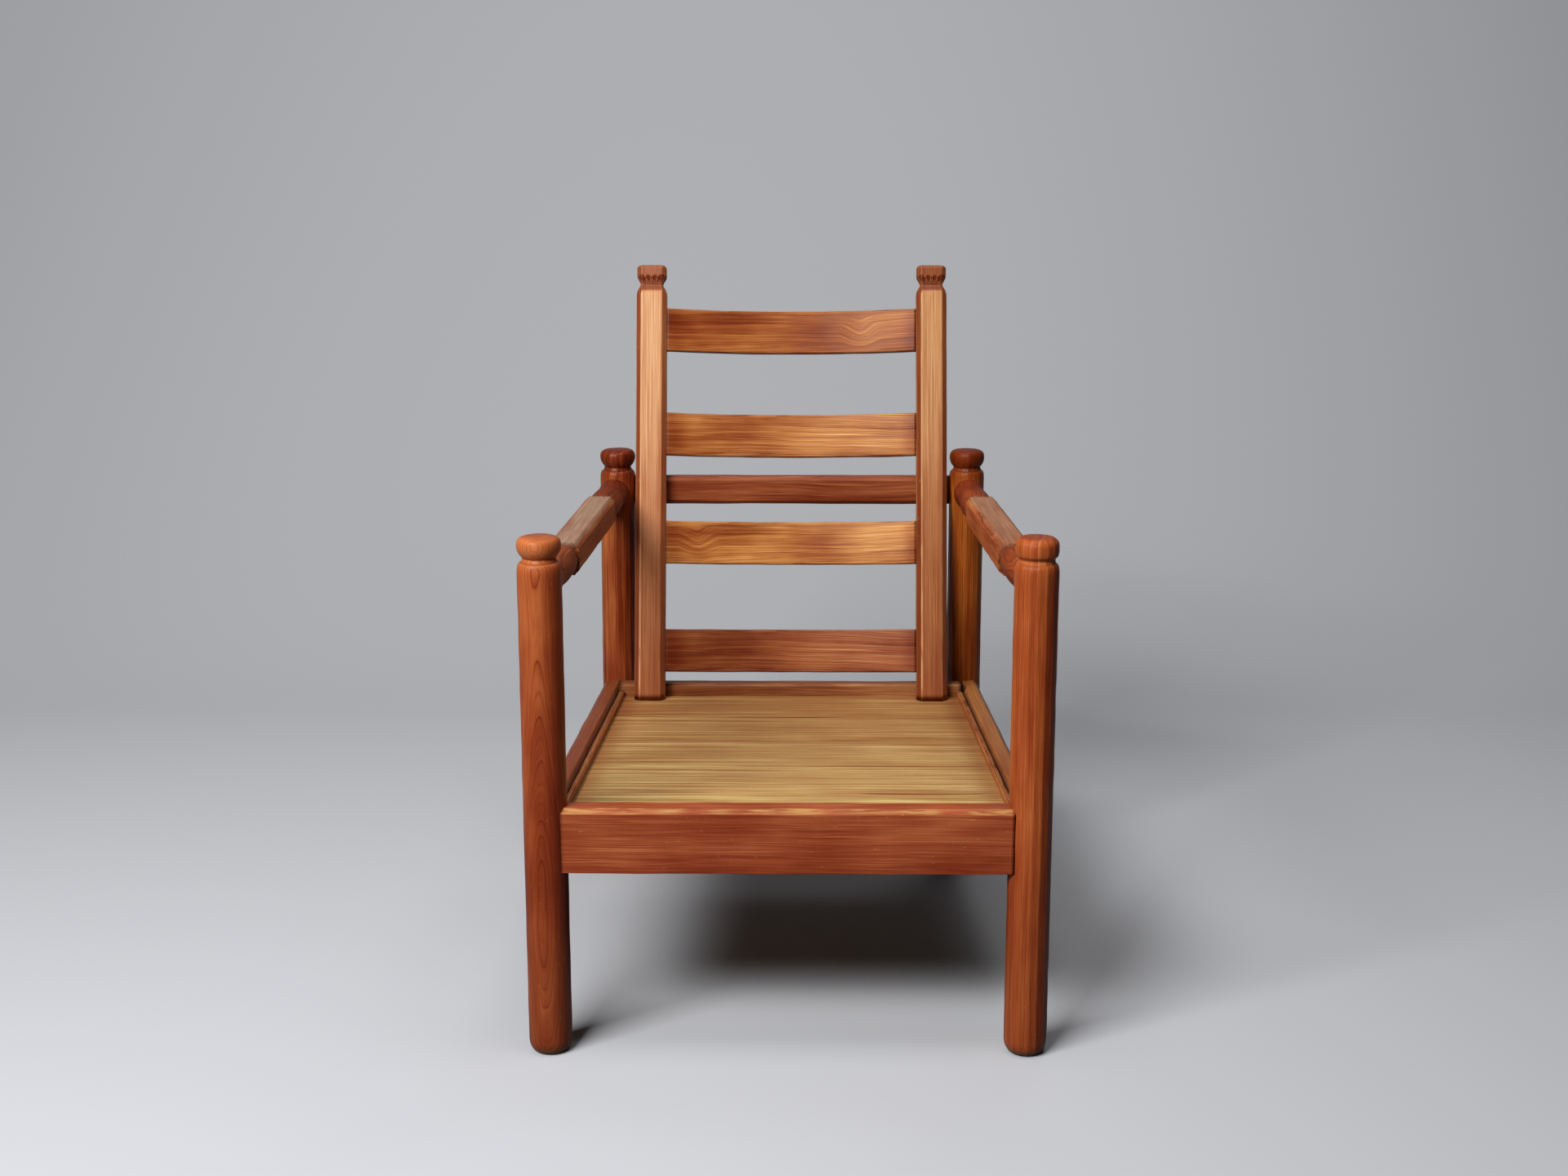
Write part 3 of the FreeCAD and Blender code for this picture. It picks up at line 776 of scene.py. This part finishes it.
# %% Arm shape
def arm_mesh(seed):
    carved = [0.021 + 0.0025 * index for index in range(58)]
    near = carved + [0.165 + 0.001 * index for index in range(14)]
    middle = [0.21 + 0.012 * index for index in range(23)]
    far = [side_length - reach for reach in reversed(near)]
    stations = [reach for reach in near + middle + far if reach <= side_length - 0.019]
    corners = eight_corners(arm_half_width, arm_half_height, arm_corner, arm_corner)
    bm = pulled_circle(stations, corners)
    for vert in bm.verts:
        reach = min(vert.co.z, side_length - vert.co.z)
        turn = math.atan2(vert.co.y, vert.co.x)
        spot = Vector((reach * 90, math.cos(turn) * 4, math.sin(turn) * 4 + seed))
        cut = peak(reach, groove_place, 0.008)
        ragged = cut * (0.0012 * noise.noise(spot * 1.3) + 0.001 * noise.noise(spot * 3.1))
        radius = between(bell_points, reach + 0.002 * cut * noise.noise(spot * 0.4), 0.05)
        if reach > 0.166:
            radius = min(radius, beam_radius(turn))
        vert.co.x = (radius + ragged) * math.cos(turn)
        vert.co.y = (radius + ragged) * math.sin(turn)
    hand_worked(bm, 0.0004, 0.03, seed)
    return bm


print("groove", groove_place, "from the posts")

# %% [markdown]
# The beam's top has faded to grey brown under the hands, while the carved ends are still
# dark, most of all at the rear. Dirt fills the groove unevenly.

# %% Arms
def arm(side, seed):
    bm = arm_mesh(seed)
    wear = mark_wear(bm)
    for vert in bm.verts:
        reach = min(vert.co.z, side_length - vert.co.z)
        beam, up = fade(reach, 0.168, 0.174), vert.co.y / arm_half_height
        spot = Vector((vert.co.x * 220, vert.co.y * 220, reach * 160 + seed))
        torn = peak(reach, 0.169, 0.0042) * (0.75 + 0.7 * noise.noise(spot))
        vert[wear.faded] = beam * fade(up, 0.76, 0.96)
        rear_end = 0.22 * fade(vert.co.z, side_length - 0.2, side_length - 0.14)
        vert[wear.stain] = (1.0 - beam) * (0.24 + rear_end + 0.26 * fade(up, 0.4, -0.6))
        vert[wear.dirt] = min(max(vert[wear.dirt], torn), 0.9)
        vert[wear.rubbed] *= 1.0 - peak(reach, groove_place, 0.01)
        if side > 0 and vert.co.z < 0.3:
            beam_end = 1.3 * peak(reach, 0.181, 0.006)
            vert[wear.rubbed] = max(vert[wear.rubbed], beam_end)
    lengthwise = Matrix(((0, 0, 1, 0), (1, 0, 0, 0), (0, 1, 0, arm_level), (0, 0, 0, 1)))
    put(bm, side_place(side) @ lengthwise)
    return bm


yaw = math.atan2(front_x - rear_x, rear_y - front_y)
left_arm_pine = pine(
    "left_arm_pine", (-0.36, 0.0, arm_level - 0.06), (-math.pi / 2, 0.0, -yaw), 0.0028,
    (0.3, 0.072, 0.02), depth=0.7, lines=0.3, clouds=0.14, jitter=0.004, ripple=0.001,
    grey=(0.35, 0.2, 0.13), gloss=0.5
)
right_arm_pine = pine(
    "right_arm_pine", (0.345, 0.0, arm_level - 0.07), (-math.pi / 2, 0.0, yaw), 0.0024,
    (0.345, 0.075, 0.017), depth=0.7, lines=0.3, jitter=0.004, ripple=0.001,
    grey=(0.355, 0.164, 0.088), gloss=0.5
)
finished(arm(-1, 0.0), "left_arm", left_arm_pine)
finished(arm(1, 5.0), "right_arm", right_arm_pine)

# %% [markdown]
# ## Rails
# The rails are plain planed bars with chamfers. A cube is stretched to size, the long edges
# are bevelled once for the chamfer and again, finely, so that no edge is razor sharp, and
# cross cuts give the surface enough points to be slightly uneven. The ends run a little way
# into the posts, as a tight joint does.

# %% Planed bars
def runs_lengthwise(edge):
    return abs(edge.verts[0].co.x - edge.verts[1].co.x) > 1e-5


def bevelled(bm, edges, offset, segments):
    bmesh.ops.bevel(
        bm, geom=edges, offset=offset, offset_type="OFFSET", segments=segments, profile=0.5,
        affect="EDGES", material=-1
    )


def planed_bar(low, high, chamfers, cuts, softness=0.0009):
    low, high = Vector(low), Vector(high)
    bm = bmesh.new()
    bmesh.ops.create_cube(bm, size=1.0)
    bmesh.ops.scale(bm, vec=high - low, verts=bm.verts[:])
    bmesh.ops.translate(bm, vec=(low + high) / 2, verts=bm.verts[:])
    for (y_side, z_side), offset in chamfers.items():
        y = high.y if y_side > 0 else low.y
        z = high.z if z_side > 0 else low.z
        at_edge = {v for v in bm.verts if abs(v.co.y - y) + abs(v.co.z - z) < 1e-6}
        bevelled(bm, [e for e in bm.edges if at_edge.issuperset(e.verts)], offset, 1)
    bevelled(bm, [e for e in bm.edges if runs_lengthwise(e)], softness, 2)
    wide = [e for e in bm.edges if e.calc_length() > 0.01 and not runs_lengthwise(e)]
    bmesh.ops.subdivide_edges(bm, edges=wide, cuts=3, use_grid_fill=True)
    lengthwise = [e for e in bm.edges if runs_lengthwise(e)]
    bmesh.ops.subdivide_edges(bm, edges=lengthwise, cuts=cuts, use_grid_fill=True)
    return bm


def worn_and_shaded_bar(bm, reach, end_shade=0.0):
    wear = mark_wear(bm)
    ends = [vert.co.x for vert in bm.verts]
    low, high = min(ends), max(ends)
    for vert in bm.verts:
        gap = min(vert.co.x - low, high - vert.co.x)
        vert[wear.dirt] = max(vert[wear.dirt], 0.8 * max(0.0, 1.0 - gap / reach))
        vert[wear.rubbed] *= fade(gap, 0.002, 0.008)
        # painted shade near the ends, beside the piece a bar meets; only the slats use it
        vert[wear.stain] = end_shade * fade(gap, 0.03, 0.004)
    return wear


print("planed bars ready")

# %% [markdown]
# The front rail is the widest, with one chamfer along its top front edge. Legs have rubbed
# that edge down to pale wood in long patches, so the wear there comes from noise, not from
# the angles.

# %% Front rail
rail_bottom, front_rail_top = 0.239, 0.3215
bm = planed_bar(
    (-0.2795, front_y - 0.018, rail_bottom), (0.2795, front_y + 0.012, front_rail_top),
    {(-1, 1): 0.006}, 90
)
hand_worked(bm, 0.0007, 0.05, 1.0)
wear = worn_and_shaded_bar(bm, 0.006)
for vert in bm.verts:
    height = vert.co.z
    if height > 0.3151 and vert.co.y < front_y - 0.0112:
        patch = noise.noise(Vector((vert.co.x * 22, 0.0, 3.0)))
        vert[wear.rubbed] = fade(patch, -0.35, 0.15) * fade(height, 0.3135, 0.3185)
    else:
        vert[wear.rubbed] = 0.0
    # painted shade along the lower edge, where the rail turns under, and on the band just
    # above it
    vert[wear.stain] = 0.15 * (fade(height, 0.27, 0.25) + fade(height, 0.2415, 0.2395))
front_rail_pine = pine(
    "front_rail_pine", (0.0, front_y + 0.05, 0.19), (0.0, math.pi / 2 + 0.006, 0.0), 0.0026,
    (0.346, 0.072, 0.024), depth=0.55, lines=0.2, jitter=0.006, ripple=0.0012,
    worn_and_highlight=(0.58, 0.32, 0.1)
)
finished(bm, "front_rail", front_rail_pine)

# %% [markdown]
# The side rails have two chamfers and faded tops. Their inner sides, next to the seat, carry
# painted shade from the narrow gap beside the seat cleats.

# %% Side rails
for side, name in ((-1, "left"), (1, "right")):
    low_y, high_y = sorted((0.009 * side, -0.019 * side))
    bm = planed_bar(
        (0.0185, low_y, rail_bottom), (side_length - 0.0155, high_y, 0.304),
        {(-1, 1): 0.006, (1, 1): 0.006}, 80
    )
    hand_worked(bm, 0.0007, 0.05, 2.0 + side)
    wear = worn_and_shaded_bar(bm, 0.008)
    for vert in bm.verts:
        vert[wear.faded] = fade(vert.co.z, 0.2965, 0.299)
        # painted shade on the inner side, in the gap beside the seat cleat
        if vert.co.y * side > 0.0075:
            vert[wear.dirt] = 0.85
    put(bm, side_place(side))
    rail_pine = pine(
        name + "_side_rail_pine", (side * 0.37, 0.0, 0.2), (-math.pi / 2, 0.0, side * yaw),
        0.003, (0.26, 0.052, 0.012), jitter=0.004, ripple=0.001, worn_and_highlight=(0.34, 0.12, 0.05),
        grey=(0.226, 0.054, 0.019) if side < 0 else (0.35, 0.118, 0.032)
    )
    finished(bm, name + "_side_rail", rail_pine)

# %% [markdown]
# The rear rail closes the seat, and the cross rail joins the rear posts at arm height. The
# back leans on both.

# %% Rear rail and cross rail
bm = planed_bar(
    (-0.2602, 0.234281, 0.252), (0.2602, 0.258281, 0.312), {(-1, 1): 0.003, (1, 1): 0.003}, 60
)
hand_worked(bm, 0.0006, 0.05, 4.0)
worn_and_shaded_bar(bm, 0.01)
rear_rail_pine = pine(
    "rear_rail_pine", (0.0, 0.33, 0.2), along_x, 0.0028, (0.258, 0.083, 0.0275)
)
finished(bm, "rear_rail", rear_rail_pine)

bm = planed_bar(
    (-0.2435, 0.314781, 0.573), (0.2435, 0.336781, 0.616),
    {(-1, -1): 0.006, (-1, 1): 0.006, (1, -1): 0.006, (1, 1): 0.006}, 60
)
hand_worked(bm, 0.0006, 0.05, 5.0)
worn_and_shaded_bar(bm, 0.01)
cross_rail_pine = pine(
    "cross_rail_pine", (0.0, 0.42, 0.53), along_x, 0.0028, (0.22, 0.046, 0.0145), bands=0.25,
    ripple=0.0006
)
finished(bm, "rear_cross_rail", cross_rail_pine)

# %% [markdown]
# ## Seat
# Five planks lie side by side from the front rail to the rear rail, with their grain running
# across the seat. Each is a planed bar whose ends are moved in to follow the side rails, and
# the front one is cut off at an angle beside the posts. One board with drawn lines would look
# alike from above, but real planks have real gaps. Their wood is dull and olive brown.

# %% Plank helpers
board_bottom, board_top, board_gap = 0.274, 0.294, 0.0005
plank_names = ["front", "middle_front", "middle", "middle_rear", "rear"]
seat_start, seat_end = front_y + 0.0125, 0.233781
plank_width = (seat_end - seat_start - board_gap * 4) / 5
uncut_half = 0.3
# front and rear plank colours: the wood's own change, with painted light at the front and
# painted shade at the back
front_wood_and_light, rear_wood_and_shade = Vector((0.527, 0.313, 0.115)), Vector((0.38, 0.172, 0.057))


def half_seat(y):
    return 0.28851 - (y - front_y) * (front_x - rear_x) / (rear_y - front_y)


def sliced(bm, place, normal, clear=False):
    everything = bm.verts[:] + bm.edges[:] + bm.faces[:]
    bmesh.ops.bisect_plane(
        bm, geom=everything, plane_co=place, plane_no=normal, clear_inner=clear
    )


def closed(bm):
    bmesh.ops.holes_fill(bm, edges=[e for e in bm.edges if e.is_boundary], sides=0)


def plank_mesh(index, start):
    bm = planed_bar(
        (-uncut_half, start, board_bottom), (uncut_half, start + plank_width, board_top),
        {}, 60, 0.0007
    )
    for joint in (start + 0.004, start + plank_width - 0.004):
        sliced(bm, (0, joint, 0), (0, 1, 0))
    for vert in bm.verts:
        vert.co.x *= half_seat(vert.co.y) / uncut_half
    if index == 0:
        for side in (-1, 1):
            corner = Vector((side * front_x, front_y, 0.0))
            away = Vector((-side, 1.0, 0.0)).normalized()
            sliced(bm, corner + away * 0.028, away, True)
        closed(bm)
    hand_worked(bm, 0.0003, 0.06, 6.0 + index)
    return bm


print("plank width:", round(plank_width, 4))

# %% [markdown]
# Dark streaks lie in parts of the joints, and the planks' ends are stained along the side
# rails. The wood grows darker towards the back, partly in its own colour and partly as
# painted shade, as less light reaches the back of the seat.

# %% Seat planks
for index, plank_name in enumerate(plank_names):
    start = seat_start + index * (plank_width + board_gap)
    bm = plank_mesh(index, start)
    wear = mark_wear(bm)
    for vert in bm.verts:
        gap = min(vert.co.y - start, start + plank_width - vert.co.y)
        joint = index * 5.0 + round((vert.co.y - start) / plank_width)
        streak = noise.noise(Vector((vert.co.x * 7, joint, 1.5)))
        dark_joint = 0.55 * fade(gap, 0.0035, 0.001) * fade(streak, -0.15, 0.25)
        dark_end = 0.28 * fade(half_seat(vert.co.y) - abs(vert.co.x), 0.045, 0.012)
        vert[wear.stain] = max(dark_end, dark_joint)
        vert[wear.rubbed] = 0.0
    pith = (0.0, start + plank_width / 2 + 0.09 * (-1) ** index, board_top - 0.07)
    seat_pine = pine(
        plank_name + "_plank_pine", pith, (0.0, math.pi / 2, 0.006 * (index - 2)), 0.004,
        front_wood_and_light.lerp(rear_wood_and_shade, index / 4), depth=0.45, lines=0.26, bands=0.08,
        clouds=0.1, reach=3.0, jitter=0.003, ripple=0.0006, gloss=0.55
    )
    finished(bm, plank_name + "_seat_plank", seat_pine)

# %% [markdown]
# A thin cleat lies along each end of the planks, beside the side rail, with two worn grooves
# along its top. Slices beside each groove give points to push down.

# %% Seat cleats
grooves = (0.0131, 0.0155)
for side, name in ((-1, "left"), (1, "right")):
    low_y, high_y = sorted((0.0185 * side, 0.01 * side))
    bm = planed_bar(
        (0.0265, low_y, 0.2941), (0.611, high_y, 0.3021), {(-1, 1): 0.002, (1, 1): 0.002},
        70, 0.0004
    )
    for groove in grooves:
        for step in (-0.0006, 0.0, 0.0006):
            sliced(bm, (0, side * (groove + step), 0), (0, 1, 0))
    for vert in bm.verts:
        in_groove = min(abs(abs(vert.co.y) - groove) for groove in grooves) < 0.0002
        if in_groove and vert.co.z > 0.3015:
            vert.co.z -= 0.0012
    hand_worked(bm, 0.0004, 0.03, 12.0 + side)
    wear = mark_wear(bm)
    # painted shade on the side facing the rail, in the gap between them
    for vert in bm.verts:
        if abs(vert.co.y) < 0.0106 and vert.co.z < 0.3012:
            vert[wear.dirt] = 0.9
    put(bm, side_place(side))
    cleat_pine = pine(
        name + "_cleat_pine", (side * 0.31, 0.0, 0.27), (-math.pi / 2, 0.0, side * yaw),
        0.0022, (0.33, 0.09, 0.025), worn_and_highlight=(0.46, 0.2, 0.07)
    )
    finished(bm, name + "_seat_cleat", cleat_pine)

# %% [markdown]
# ## Back
# The ladder back leans on the two rear rails. It is drawn upright, in the stiles' own frame,
# and then leaned back, so that heights along the stile stay plain numbers. A stile is an
# eight-sided bar: a circle is pulled up ring by ring and drawn in to the bar's sides, to the
# neck and to the finial. Gouge cuts leave a row of small scallops under the finial.

# %% Stile outline
lean = math.radians(14.9732)
stile_foot = Matrix.Translation((0.0, 0.203045, board_top))
leaning = stile_foot @ Matrix.Rotation(-lean, 4, "X")
stile_x, stile_length = 0.2115, 0.659
stile_half_width, stile_half_depth = 0.023, 0.013
arris_half_width = 0.02275  # where the mesh has its long edges
front_corner, back_corner = 0.02875, 0.03075  # width plus depth on the chamfers
scallop_width, scallop_level = 0.0078, 0.639
stile_cuts = [
    (0.0, 0.0), (0.614, 0.0), (0.618, 0.0005), (0.622, 0.0022), (0.6265, 0.0052),
    (0.6300, 0.0062), (0.6335, 0.0052), (0.6380, 0.0022), (0.6405, 0.0010), (0.6550, 0.0010),
    (0.6570, 0.0022), (0.6584, 0.0042), (0.6590, 0.0065),
]


def stile_radius(turn, cut):
    across, back = abs(math.cos(turn)), math.sin(turn)
    corner = front_corner if back < 0 else back_corner
    side = (stile_half_width - cut) / max(across, 1e-6)
    face = (stile_half_depth - cut) / max(abs(back), 1e-6)
    return min(side, face, (corner - 1.2 * cut) / (across + abs(back)))


def gouge(turn, height, seed):
    flat = stile_radius(turn, 0.0)
    beside = math.copysign(math.sin(turn) + 0.45, math.cos(turn)) * 0.9
    around = flat * (math.cos(turn) + beside)
    across = (around / scallop_width + seed) % 1.0 - 0.5
    up = (height - scallop_level) / 0.0048
    return max(0.0, 1.0 - (across / 0.5) ** 2 - up ** 2)


print("stile lean:", round(math.degrees(lean), 2), "degrees")

# %% [markdown]
# The stiles are paler than the rest in front, with dark chamfers and a dark neck. Their
# lower part carries painted shade, and a painted highlight runs as one pale line along the
# left chamfer's edge. The foot is cut level, so that the leaning stile stands flat on the
# seat.

# %% Stiles
def stile_mesh(seed):
    shaft = [-0.02 + 0.016 * index for index in range(39)]
    head = [0.606 + 0.0012 * index for index in range(44)]
    corners = eight_corners(arris_half_width, stile_half_depth, front_corner, back_corner)
    bm = pulled_circle(shaft + head + [0.6584, stile_length], corners)
    last_cut = stile_cuts[-1][1]
    for vert in bm.verts:
        turn = math.atan2(vert.co.y, vert.co.x)
        cut = between(stile_cuts, vert.co.z, last_cut)
        radius = stile_radius(turn, cut + 0.0014 * gouge(turn, vert.co.z, seed))
        vert.co.x = radius * math.cos(turn)
        vert.co.y = radius * math.sin(turn)
    hand_worked(bm, 0.0003, 0.04, seed)
    return bm


def stile(side, seed):
    bm = stile_mesh(seed)
    wear = mark_wear(bm)
    for vert in bm.verts:
        turn, height = math.atan2(vert.co.y, vert.co.x), vert.co.z
        scallop = 0.74 * fade(gouge(turn, height, seed), 0.02, 0.25)
        neck = 0.58 * fade(height, 0.617, 0.622) * fade(height, 0.64, 0.634)
        finial = 0.52 * fade(height, 0.63, 0.64)
        # painted shade on the lower part of the stile
        foot = 0.36 * fade(height, 0.48, 0.16)
        slope = min(abs(abs(turn) - math.radians(angle)) for angle in (27.0, 153.0))
        chamfer = (0.6 if vert.co.x < 0 else 0.45) * fade(slope, 0.235, 0.19)
        vert[wear.stain] = max(scallop, neck, finial, chamfer, foot)
        vert[wear.rubbed] *= 0.3
        # painted highlight: a pale line along the edge between the left chamfer and the face
        if abs(turn + math.radians(140.5)) < 0.025 and height < 0.616:
            vert[wear.rubbed], vert[wear.stain] = 1.6, 0.0
    bmesh.ops.translate(bm, vec=(side * stile_x, stile_half_depth, 0), verts=bm.verts[:])
    put(bm, leaning)
    sliced(bm, (0, 0, 0.2943), (0, 0, 1), True)
    closed(bm)
    return bm


for side, name in ((-1, "left"), (1, "right")):
    stile_pine = pine(
        name + "_stile_pine", (side * stile_x + 0.1, 0.23, board_top), (-lean, 0.0, 0.0),
        0.003, (0.54, 0.235, 0.099) if side < 0 else (0.468, 0.195, 0.077), depth=0.3,
        lines=0.14, clouds=0.16, fine=0.12, reach=4.0, jitter=0.005, ripple=0.0006,
        worn_and_highlight=(0.66, 0.34, 0.15), gloss=0.34
    )
    finished(stile(side, 7.0 + side), name + "_stile", stile_pine, "back")

# %% [markdown]
# The four slats are bowed backwards between the stiles. Each is a planed bar whose points are
# pushed back along a curve before the whole back is leaned. The real slats were bent, so their
# grain follows the bow: the straight places are kept in an attribute, and the wood reads them.

# %% Slat shapes
slat_height, slat_front, slat_back = 0.0645, 0.007, 0.021
slat_half, bow_half, bow = 0.1905, 0.18865, 0.028
slats = {  # height along the stile, colour, ripple and place of the swirl
    "bottom": (0.0437, (0.257, 0.063, 0.0190), 0.0013, None),
    "lower": (0.2071, (0.455, 0.163, 0.0400), 0.0018, (-0.140, 0.032)),
    "upper": (0.3705, (0.396, 0.128, 0.0325), 0.0016, None),
    "top": (0.5290, (0.328, 0.088, 0.0195), 0.0013, (0.105, 0.028)),
}


def slat_mesh(level, seed):
    bm = planed_bar(
        (-slat_half, slat_front, level), (slat_half, slat_back, level + slat_height), {}, 60,
        0.0022
    )
    grown = bm.verts.layers.float_vector.new("grown")
    for vert in bm.verts:
        vert[grown] = vert.co
        vert.co.y += bow * (1.0 - (vert.co.x / bow_half) ** 2)
    hand_worked(bm, 0.0005, 0.04, seed)
    # painted shade at both ends of a slat, beside the stiles
    wear = worn_and_shaded_bar(bm, 0.006, 0.35)
    for vert in bm.verts:
        # painted shade along the down-facing lower edge, and a painted shadow of the left
        # stile over the left end
        low_edge_shade = 0.45 * fade(vert.co.z - level, 0.003, 0.0005)
        left_end_shadow = 0.35 * fade(vert.co.x, -0.14, -0.18)
        vert[wear.stain] = max(vert[wear.stain], low_edge_shade, left_end_shadow)
    put(bm, leaning)
    return bm


print("slats:", list(slats))

# %% Slats
for index, (name, (level, colour, ripple, swirl)) in enumerate(slats.items()):
    pith = Vector((0.0, 0.075, level + 0.03 + 0.08 * (-1) ** index))
    turn = (0.0, math.pi / 2 + 0.015 * (-1) ** index, 0.0)
    knot = None
    if swirl:
        spot = Vector((swirl[0], slat_front, level + swirl[1]))
        knot = (Euler(turn).to_matrix().transposed() @ (spot - pith), 0.034, 0.011)
    slat_pine = pine(
        name + "_slat_pine", pith, turn, 0.0022, colour, depth=0.8, lines=0.22, bands=0.24,
        clouds=0.38, jitter=0.014, ripple=ripple, knot=knot, grown=True
    )
    bm = slat_mesh(level, 20.0 + index)
    finished(bm, name + "_slat", slat_pine, "back")

# %% [markdown]
# ## Hidden pieces
# The ledgers under the seat, their screws and the pegs in the stiles' feet are out of sight
# on the real chair. They keep their CAD shapes, and only get wood and steel to match.

# %% Hidden wood and screws
ledger_pine = pine(
    "ledger_pine", (0.0, 0.0, 0.15), (-math.pi / 2, 0.0, 0.0), 0.0034, (0.42, 0.22, 0.09)
)
peg_pine = pine("peg_pine", (0.0, 0.22, 0.29), (-lean, 0.0, 0.0), 0.0026, (0.45, 0.24, 0.1))
bright_steel, dark_steel = (0.4, 0.39, 0.38, 1), (0.2, 0.15, 0.11, 1)


def screw_steel():
    material = bpy.data.materials.new("dull_steel")
    material.use_nodes = True
    tree = material.node_tree
    shader = tree.nodes["Principled BSDF"]
    place = tree.nodes.new("ShaderNodeTexCoord").outputs["Object"]
    tarnish = cloudy(tree, place, (420.0, 420.0, 420.0), 3.0).outputs["Fac"]
    colour = mixed(tree, eased(tree, tarnish, 0.35, 0.7), bright_steel, dark_steel)
    tree.links.new(colour, shader.inputs["Base Color"])
    roughness = maths(tree, "MULTIPLY_ADD", tarnish, 0.4, 0.25)
    tree.links.new(roughness, shader.inputs["Roughness"])
    shader.inputs["Metallic"].default_value = 1.0
    return material


hidden_finishes = {
    "left_seat_ledger": ledger_pine, "right_seat_ledger": ledger_pine,
    "left_foot_peg": peg_pine, "right_foot_peg": peg_pine, "ledger_screws": screw_steel(),
}
for node, material in hidden_finishes.items():
    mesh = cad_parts[node].data
    mesh.materials.clear()
    mesh.materials.append(material)
print("hidden pieces finished:", sorted(hidden_finishes))

# %% Sizes and finish
boxes = {"cad": cad_box, "visual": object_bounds()}
boxes = {name: [list(corner) for corner in box] for name, box in boxes.items()}
print("boxes:", boxes)
